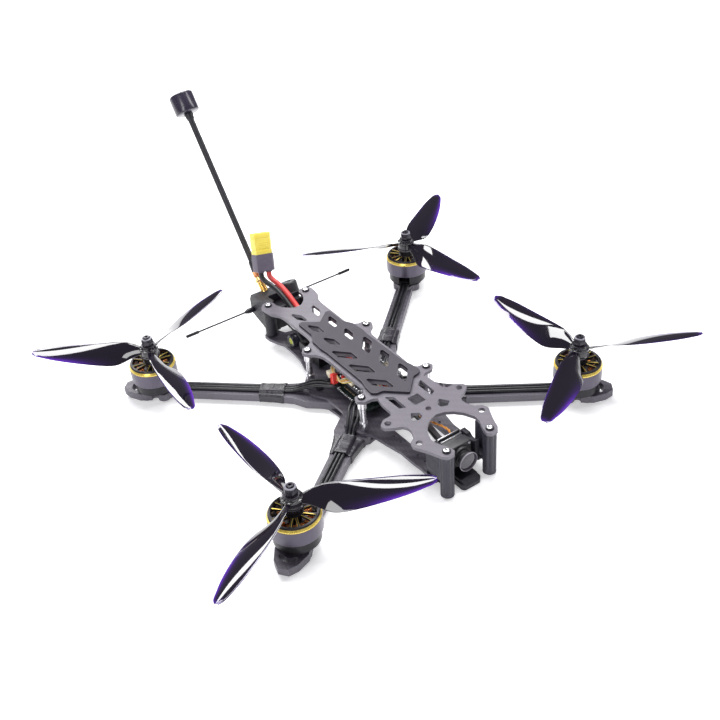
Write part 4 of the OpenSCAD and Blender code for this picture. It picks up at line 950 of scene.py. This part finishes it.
def make_fpv_camera():
    forward = Matrix.Translation(CAMERA) @ turned(x=90)
    shape = Shape()
    shape.box((-9.5, -116, 10.5), (9.5, -108.6, 28.5), 0.7, 0, steps=3)
    shape.box((-8.7, -108.7, 11.3), (8.7, -104.2, 27.7), 0.5, 0, steps=3)
    shape.lathe([(6.1, 4), (6.1, 8.35), (7.2, 8.4), (7.6, 8), (7.6, 5.8)], 56, 0, forward, soft=0.2)
    for k in range(24):
        shape.box((7.35, -0.28, 6.1), (7.75, 0.28, 8), 0.12, 0, forward @ turned(z=k * 15))
    for x in (-7.6, 7.6):
        for z in (12.4, 26.6):
            shape.lathe([(0.3, 0.35), (0.9, 0.35), (1.15, 0)], 20, 1, turned((x, -116, z), x=90), soft=0.1)
    for side in SIDES:
        shape.lathe([(0.97, -0.2), (2.4, -0.2), (2.6, 0.12), (0.97, 0.12)], 32, 0,
                    turned((side * 9.5, -110, 19.5), y=side * 90), soft=0.1)
    for x0, z0, x1, z1 in ((-9.1, 11, -8.3, 28.3), (8.3, 11, 9.1, 28.3), (-9.1, 27.4, 9.1, 28.3),
                           (-9.1, 11, 9.1, 11.7)):
        shape.box((x0, -106.3, z0), (x1, -105.7, z1), 0.15, 1)
    part(shape, "camera_case", ["camera", "silver"], "camera_black", body="camera")
    shape = Shape()
    barrel = [(5.95, 4.1), (5.95, 9.3), (5.7, 9.5), (5.25, 9.6), (5.2, 9.9), (5.55, 11.4), (5.75, 11.8),
              (6.9, 13.4), (7.35, 13.9), (7.35, 14.4), (7.2, 14.6), (6.95, 14.6), (6.85, 14.4), (6.75, 13.9),
              (6.65, 13.7), (6.6, 13)]
    # Mark 2 gives the hood's lip a light tone, a painted highlight.
    shape.lathe(barrel, 64, [0] * 8 + [2] * 3 + [1] * 4, forward)
    for z in (5.4, 6.3, 7.2, 8.1):
        shape.lathe(lifted(z, [(5.9, 0), (6, 0.12), (6, 0.4), (5.9, 0.52)]), 56, 0, forward)
    glass = [(6.7 * cos(a), 13.2 + 0.9 * sin(a)) for a in (0.25, 0.5, 0.75, 1, 1.2, 1.38, 1.5, 1.56)]
    shape.lathe([(6.7, 13)] + glass, 48, 3, forward)
    part(shape, "camera_lens", ["camera", "hood", "hood_rim", "glass"], "camera_black", 40, "camera")
    shape = Shape()
    for x0, z0, x1, z1 in ((-8.9, 11.3, -7.8, 29.1), (7.8, 11.3, 8.9, 29.1), (-8.9, 28, 8.9, 29.1),
                           (-8.9, 11.3, 8.9, 12.4)):
        shape.box((x0, -104.1, z0), (x1, -103.15, z1), 0.2, 4)
        shape.box((x0, -103.25, z0), (x1, -102.5, z1), 0.2, 0)
    shape.box((-8, -104.1, 12.2), (8, -103.2, 28.2), 0.1, 1)
    shape.box((-4.5, -103.35, 17.1), (4.5, -99.9, 21.5), 0.3, 2)
    for x in (-3.6, -2.2, -0.8, 0.8, 2.2, 3.6):
        shape.box((x - 0.3, -103.1, 16.1), (x + 0.3, -102.7, 17.2), 0.05, 3)
    for x, z, w, h in ((-6, 25.2, 2.6, 2), (-1.4, 25.4, 3, 2.6), (4.4, 24.8, 2.2, 2.2),
                       (-5.8, 14.6, 2, 1.4), (5, 14.4, 2.6, 1.8)):
        shape.box((x - w / 2, -103.25, z - h / 2), (x + w / 2, -102.75, z + h / 2), 0.08, 4)
    part(shape, "camera_board", ["silver", "board_dark", "cream", "solder", "chip"], "camera_silver",
         body="camera")
    shape = Shape()
    for side in SIDES:
        turn = Matrix.Translation(CAMERA) @ turned(y=side * 90)
        shape.lathe([(0.6, 5.3), (0.88, 5.6), (0.88, 13.6)], 24, 0, turn)
        button_head(shape, turn @ turned((0, 0, 13.6)), 1.9, 1.4, 0.8, 0.8, 36)
    part(shape, "camera_screws", ["silver", "socket"], "camera_silver", 30, "camera")
    make_camera_cable()


CABLE_ROUTE = [(0, -29.6, 28.6), (0, -36, 28.8), (0.6, -52, 28.4), (-0.6, -66, 26.4), (0.4, -80, 23.2),
               (0, -92, 20.2), (0, -99.7, 19.3)]
PAIR_END = [(0.2, -76, 26.2), (1.2, -86, 27.6), (2.8, -94, 28.6), (4, -99.2, 27.6), (3.4, -101, 24.6),
            (1.6, -100.3, 21.4), (0.6, -99.9, 20)]
RIBBON = ((-1, -0.6), (-0.94, -1), (0.94, -1), (1, -0.6), (1, 0.6), (0.94, 1), (0.5, 1), (0.46, 0.7),
          (0.42, 1), (0, 1), (-0.04, 0.7), (-0.08, 1), (-0.5, 1), (-0.54, 0.7), (-0.58, 1), (-0.94, 1),
          (-1, 0.6))


def make_camera_cable():
    """A twisted pair over thin strands, their sleeve and a flat ribbon, from board to camera."""
    shape = Shape()
    path = smooth_route(CABLE_ROUTE, 16)
    last = len(path) - 1
    pair = smooth_route(CABLE_ROUTE[:4] + PAIR_END, 12)
    for strand in range(2):
        line = []
        for i, p in enumerate(pair):
            t = i / (len(pair) - 1)
            loose = ease(t, 0, 0.05) * (1 - ease(t, 0.93, 1))
            angle = i * 0.42 + strand * pi
            twist = Vector((0.46 * cos(angle), 0, 0.46 * sin(angle) + 0.3))
            line.append(p + twist * loose + Vector(((strand - 0.5) * 1.6, 0, 0)) * (1 - loose))
        shape.tube(line, 0.44, 10, 0)
    sleeved = next(i for i, p in enumerate(path) if p.y < -64)
    for x, tone in ((-1.5, 3), (-2.5, 4), (-3.5, 3)):
        shape.tube([p + Vector((x, 0, 0.1)) for p in path[:sleeved + 3]], 0.42, 10, tone)
    shape.tube([p + Vector((-2.3, 0, 0.1)) for p in path[sleeved:]], 1.15, 14, 1)
    rings = []
    for i, p in enumerate(path):
        ahead = (path[min(last, i + 1)] - path[max(0, i - 1)]).normalized()
        up = Vector((1, 0, 0)).cross(ahead).normalized()
        up = up if up.z > 0 else -up
        p = p - up * 0.75 * ease(i / last, 0, 0.05) * (1 - ease(i / last, 0.95, 1))
        rings.append([p + Vector((x * 2.6, 0, 0)) + up * z * 0.16 for x, z in RIBBON])
    shape.loft(rings, 2)
    data = shape.mesh("camera_cable_fine", 50)
    for m in ("orange", "wire", "ribbon", "red_lead", "cream"):
        data.materials.append(M[m])
    obj = add_object("camera_cable_fine", data)
    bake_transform(obj)
    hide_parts("camera_cable")


# ---- electronics

ESC_Z, FC_Z, BOARD_T, STACK_Y = 16, 24.6, 1.6, -11
ESC_TOP, FC_TOP = ESC_Z + BOARD_T, FC_Z + BOARD_T
STACK = [(x, STACK_Y + y) for x in (-15.25, 15.25) for y in (-15.25, 15.25)]
BUTTON_X, BUTTON_Y = 10.2, -26.4


def chip(shape, x, y, z, w, d, h):
    """A package with its rows of legs."""
    shape.block(x, y, z, w, d, h, 0.12)
    for k in range(int(w / 0.8)):
        for side in SIDES:
            shape.block(x - w / 2 + 0.4 + k * 0.8, y + side * d / 2, z, 0.3, 0.6, 0.25, 0.04, 1)


def make_esc_parts():
    shape = Shape()
    for x in (-13, -6.4, 6.4, 13):
        for y in (-8, 0, 8):
            chip(shape, x, STACK_Y + y, ESC_TOP, 5, 5.8, 1)
    chip(shape, 0, STACK_Y, ESC_TOP, 7.2, 7.2, 1.1)
    for side in SIDES:
        for y in (-20, -15.6, -11.2, 11.2, 15.6, 20):
            shape.dome(side * 19.6, STACK_Y + y, ESC_TOP, 1.25, 0.7)
        for k in range(10):
            shape.dome(side * 21, STACK_Y - 7.6 + k * 2, ESC_TOP, 0.6, 0.55)
    for x in (-4, 4):
        shape.block(x, STACK_Y + 20.8, ESC_TOP, 4, 6.4, 0.6, 0.25, 1)
    for x in (-9, -3, 3, 9):
        shape.block(x, STACK_Y + 14.6, ESC_TOP, 3.2, 2.4, 1.8, 0.2, 2)
    for side in SIDES:
        for k in range(14):
            shape.block(side * 16.6, STACK_Y - 9.4 + k * 1.35, ESC_TOP, 1, 0.6, 0.5, 0.06, 2 if k % 3 else 1)
    part(shape, "esc_parts", ["chip", "solder", "ceramic"], "parts_mixed")


def make_fc_chips():
    shape = Shape()
    for x, y, w, d, h in ((0, 0, 10, 10, 1.2), (10.5, 3, 5, 4, 0.9), (-9.9, 4.5, 5, 5, 1),
                          (-9, -7.6, 4, 4, 0.9), (9.8, -6.9, 4.4, 3.4, 0.9)):
        chip(shape, x, STACK_Y + y, FC_TOP, w, d, h)
    for k in range(5):
        shape.block(-11.2 + 3 * k, STACK_Y + 9.85, FC_TOP, 1.6, 0.9, 0.7, 0.1, 2)
    for k in (0, 1, 9, 10):
        for x in (-12.4, 12.4):
            shape.dome(x, STACK_Y - 12 + k * 2.1, FC_TOP, 0.55, 0.3)
    for k in range(8):
        shape.dome(-8.4 + k * 2.4, STACK_Y + 12.2, FC_TOP, 0.5, 0.3)
    for k in range(9):
        for x in (-17, 17):
            shape.dome(x, STACK_Y - 11.6 + k * 2.9, FC_TOP, 0.85, 0.6)
    for x0, y0, x1, y1 in ((-1.7, -1.5, -0.95, 1.5), (0.95, -1.5, 1.7, 1.5), (-1, -1.5, 1, -0.95),
                           (-1, 0.95, 1, 1.5)):
        shape.box((BUTTON_X + x0, BUTTON_Y + y0, FC_TOP), (BUTTON_X + x1, BUTTON_Y + y1, FC_TOP + 1.2),
                  0.12, 1)
    part(shape, "fc_chips", ["chip", "solder", "ceramic"], "parts_mixed")


def make_fc_plugs():
    """Wire sockets with their contacts, and the loose wires and parts at the board's edge."""
    shape = Shape()
    for x, y, w, d in ((-5.5, 15.8, 8, 4.4), (5.5, 15.8, 8, 4.4), (-15.9, 0.5, 4.2, 9), (15.9, -3.5, 4.2, 9),
                       (0, -16.1, 6, 4.2)):
        shape.block(x, STACK_Y + y, FC_TOP, w, d, 3, 0.35)
        for t in [(k + 0.5) / 5 - 0.5 for k in range(5)]:
            dx, dy = ((w - 1.6) * t, 0) if w > d else (0, (d - 1.6) * t)
            shape.block(x + dx, STACK_Y + y + dy, FC_TOP + 2.6, 0.7, 0.7, 0.55, 0.08, 2)
    shape.block(-16.2, STACK_Y + 7.9, FC_TOP, 4, 3, 2.4, 0.35, 1)
    shape.box((-2.2, -1.9, -4.4), (2.2, 1.9, 3.2), 0.35, 1, turned((-22.4, 1.2, 27.2), x=-14, y=8))
    shape.box((-2, -2.6, -1.8), (2, 2.6, 2), 0.5, 0, turned((-21.4, 8.4, 26.2), x=8, z=-12))
    for k, tone in enumerate((3, 0, 4, 3, 0)):
        start = Vector((-16, STACK_Y - 2.6 + 1.6 * k, FC_TOP + 2.4))
        route = [start, start + Vector((-2.6, 0.3, 0.7)), (-21.4, -7.5 + 1.5 * k, 27 - 0.3 * k),
                 (-20.8, -2 + 1.3 * k, 28.6 - 0.5 * k), (-19.6, 4.4 + 1.2 * k, 29.2),
                 (-16.2, 9.6 + 0.9 * k, 28.2), (-12, 13 + 0.6 * k, 25)]
        shape.tube(smooth_route(route, 6), 0.38, 8, tone)
    part(shape, "fc_plugs", ["cream", "red_part", "chip", "gold_wire", "orange"], "plug_cream")


def make_stack():
    shape = Shape()
    head = [(0.1, 1.1), (1.15, 1.1), (1.15, 0.15), (1.3, 0), (2.8, 0), (2.9, 0.08), (1.5, 1.45), (1.5, 28),
            *threads(28, 30.2, 1.5, 1.36), (1.3, 30.6), (0.2, 30.6)]
    nut = lifted(FC_TOP + 1.1, [(1.45, 0), (2.4, 0), (2.7, 0.3), (2.7, 1.9), (2.4, 2.2), (1.45, 2.2)])
    for x, y in STACK:
        shape.lathe(head, 36, 0, turned((x, y, 0)), hexes=(1, 2))
        shape.lathe(nut, 48, 0, turned((x, y, 0), z=17), hexes=(2, 3), closed=True)
    part(shape, "stack_screws", ["steel"], "stack_steel", 30)
    shape = Shape()
    low = DECK_Z + 0.05
    profile = [(1.56, low), (3, low), (3, ESC_Z), (2.05, ESC_Z), (2.05, ESC_TOP), (2.9, ESC_TOP), (2.9, FC_Z),
               (2.05, FC_Z), (2.05, FC_TOP), (2.9, FC_TOP), (2.9, FC_TOP + 1), (1.56, FC_TOP + 1)]
    for x, y in STACK:
        shape.lathe(profile, 36, 0, turned((x, y, 0)), closed=True, soft=0.25)
    part(shape, "stack_spacers", ["grommet"], "grommet_rubber", 40)
    shape = Shape()
    shape.lathe(lifted(FC_TOP, [(0.1, 0.45), (0.8, 0.45), (0.8, 1.6), (0.1, 1.6)]), 24, 0,
                turned((BUTTON_X, BUTTON_Y, 0)), soft=0.12)
    part(shape, "boot_button", ["cream"], "plug_cream", 30, "boot_key")


def make_electronics():
    refine("esc_board", 0.12, ["board"])
    refine("fc_board", 0.12, ["board_dark"])
    make_esc_parts()
    make_fc_chips()
    make_fc_plugs()
    make_stack()
    refine("vtx_case", 0.35, ["motor_black"])
    coax = [(-9, 65.6, 15.4), (-9.2, 68.4, 18.8), (-9.8, 73, 23), (-10.2, 80, 24), (-8.4, 94, 23.6),
            (-5, 104, 23.8), (-4, 114, 24), (-4, 122, 24.6), (-4, 127.4, 27.2), (-4, 131, 31.7)]
    shape = Shape()
    shape.tube(smooth_route(coax, 8), 0.72, 12)
    part(shape, "vtx_coax", ["coax"], "coax_black", 50)
    shape = Shape()
    side_on = turned((-15, 76, DECK_Z + 5.3), y=90)
    shape.lathe([(2.9, 0.5), (3, 0.1), (3.4, -0.2), (4.4, -0.4), (5, -0.1), (5.2, 0.8), (5.2, 2), (5, 2.5),
                 (5.2, 3), (5.2, 19.3), (5, 19.9), (4.6, 20), (0.1, 20)], 48, 0, side_on)
    shape.lathe([(0.1, -0.1), (2.2, 0), (2.95, 0.45)], 40, 1, side_on)
    for a in (0, 60, 120):
        shape.box((-2, -0.3, -0.5), (2, 0.3, 0.3), 0.1, 1, side_on @ turned(z=a))
    for y in (-2.4, 2.4):
        shape.lathe([(0.4, 19.9), (0.4, 20.6), (0.1, 20.7)], 12, 2, side_on @ turned((0, y, 0)))
    part(shape, "capacitor", ["sleeve", "sleeve_mark", "solder"], "capacitor_sleeve", 40)
    shape = Shape()
    shape.box((7.4, 70, 12), (16.4, 84, 13.4), 0.12, 0)
    shape.box((8.6, 72, 13.3), (15, 81, 15.4), 0.3, 1)
    for k in range(4):
        shape.dome(8.4 + k * 2.2, 82.8, 13.4, 0.6, 0.35, 2)
    part(shape, "receiver", ["receiver", "silver", "solder"], "receiver_blue")


# ---- rear end

def make_rear():
    shape = Shape()
    turn = turned((12, 114, 30), x=-20)
    shape.lathe([(0.2, 0.05), (6.2, 0.05), (6.5, 0.3), (6.5, 10.8), (6.4, 11.2), (6.3, 11.7), (5.9, 12.2),
                 (5.4, 12.4), (1.9, 12.4), (1.5, 12.2), (1.3, 11.7), (1.3, 10.4), (0.1, 10.4)], 56, 0, turn)
    shape.lathe([(6.3, 3), (6.5, 3), (6.62, 3.2), (6.62, 4), (6.5, 4.2), (6.3, 4.2)], 56, 0, turn, soft=0.05)
    part(shape, "buzzer", ["buzzer"], "buzzer_black", 40)
    shape = Shape()
    profile = [(1, 0), (3, 0), (3.2, 0.3), *threads(1, 8.6, 3.2, 2.95, 0.6, 0.25), (3.2, 9.3)]
    start = len(profile)
    profile += [(4.2, 9.4), (4.6, 9.7), (4.6, 11.1), (4.2, 11.4), (3.2, 11.5), (3.2, 13.4), (2, 13.5)]
    shape.lathe(profile, 48, 0, ANTENNA, hexes=(start + 1, start + 2))
    shape.lathe([(2, 13.6), (3.6, 13.6), (4, 13.9), (4, 18.2), (3.7, 18.6), (2, 18.6)], 48, 1, ANTENNA,
                hexes=(2, 3), closed=True)
    part(shape, "sma_connector", ["brass", "copper_nut"], "brass", 30)
    shape = Shape()
    rod, base = 139, 18.65
    shape.lathe(lifted(base, [(1, 0), (3.5, 0), (3.6, 0.6), (3.2, 8.6), (2.6, 9.4), (2.5, 30), (2.5, rod - 6),
                              (3.1, rod - 5), (3.75, rod - 0.3), (1, rod)]), 40, 0, ANTENNA, soft=0.4)
    for z in (base + 2.2, base + 4, base + 5.8):
        shape.lathe(lifted(z, [(3, 0), (3.62, 0.15), (3.62, 0.6), (3, 0.75)]), 40, 0, ANTENNA, soft=0.1)
    part(shape, "antenna_rod", ["antenna"], "antenna_black", 40)
    shape = Shape()
    cap = [(0.5, 0), (4.2, 0), (4.4, 0.05), (9.2, 0.05), (9.8, 0.5), (10, 1), (10, 4.6), (9.9, 4.7),
           (9.9, 4.9), (10, 5), (10, 14.6), (9.8, 15.4), (9.2, 15.9), (8.4, 16), (3.2, 16), (3, 15.9),
           (2.8, 15.7), (0.2, 15.7)]
    shape.lathe(lifted(18.7 + rod, cap), 72, 0, ANTENNA)
    part(shape, "antenna_cap", ["cap"], "antenna_black", 40)
    shape = Shape()
    line = lifted(-79, [(0.3, 0), (1.1, 0.05), (1.3, 0.4), (1.3, 10.6), (0.9, 11.2), (0.7, 11.6)])
    line += [(0.7, -25.4), (1.1, -24.9), (2, -22.6), (2.2, -21.8), (2.2, -16.4), (2.05, -16.2), (2.05, -15.8),
             (2.2, -15.6)]
    shape.lathe(line + [(r, -z) for r, z in line[::-1]], 24, 0, turned((0, 131, 20.5), y=90))
    part(shape, "receiver_antenna", ["antenna"], "antenna_black", 45)


# ---- floor

def make_floor():
    bm = bmesh.new()
    bmesh.ops.create_grid(bm, x_segments=8, y_segments=8, size=3.2)
    data = bpy.data.meshes.new("floor")
    bm.to_mesh(data)
    bm.free()
    shader = M["floor"].node_tree.nodes["Principled BSDF"]
    shader.inputs["Emission Color"].default_value = (1, 1, 1, 1)
    shader.inputs["Emission Strength"].default_value = 0.42
    data.materials.append(M["floor"])
    floor = add_object("floor", data)
    floor.location.z = -0.0002


M = make_materials()
make_camera()
studio()
plug_pieces = make_plug()
make_lead("lead_red", RED_ROUTE, "red_lead")
make_lead("lead_black", BLACK_ROUTE, "black_lead")
make_frame()
make_motor_wires()
make_wraps()
make_motors()
make_fpv_camera()
make_electronics()
make_rear()
make_floor()
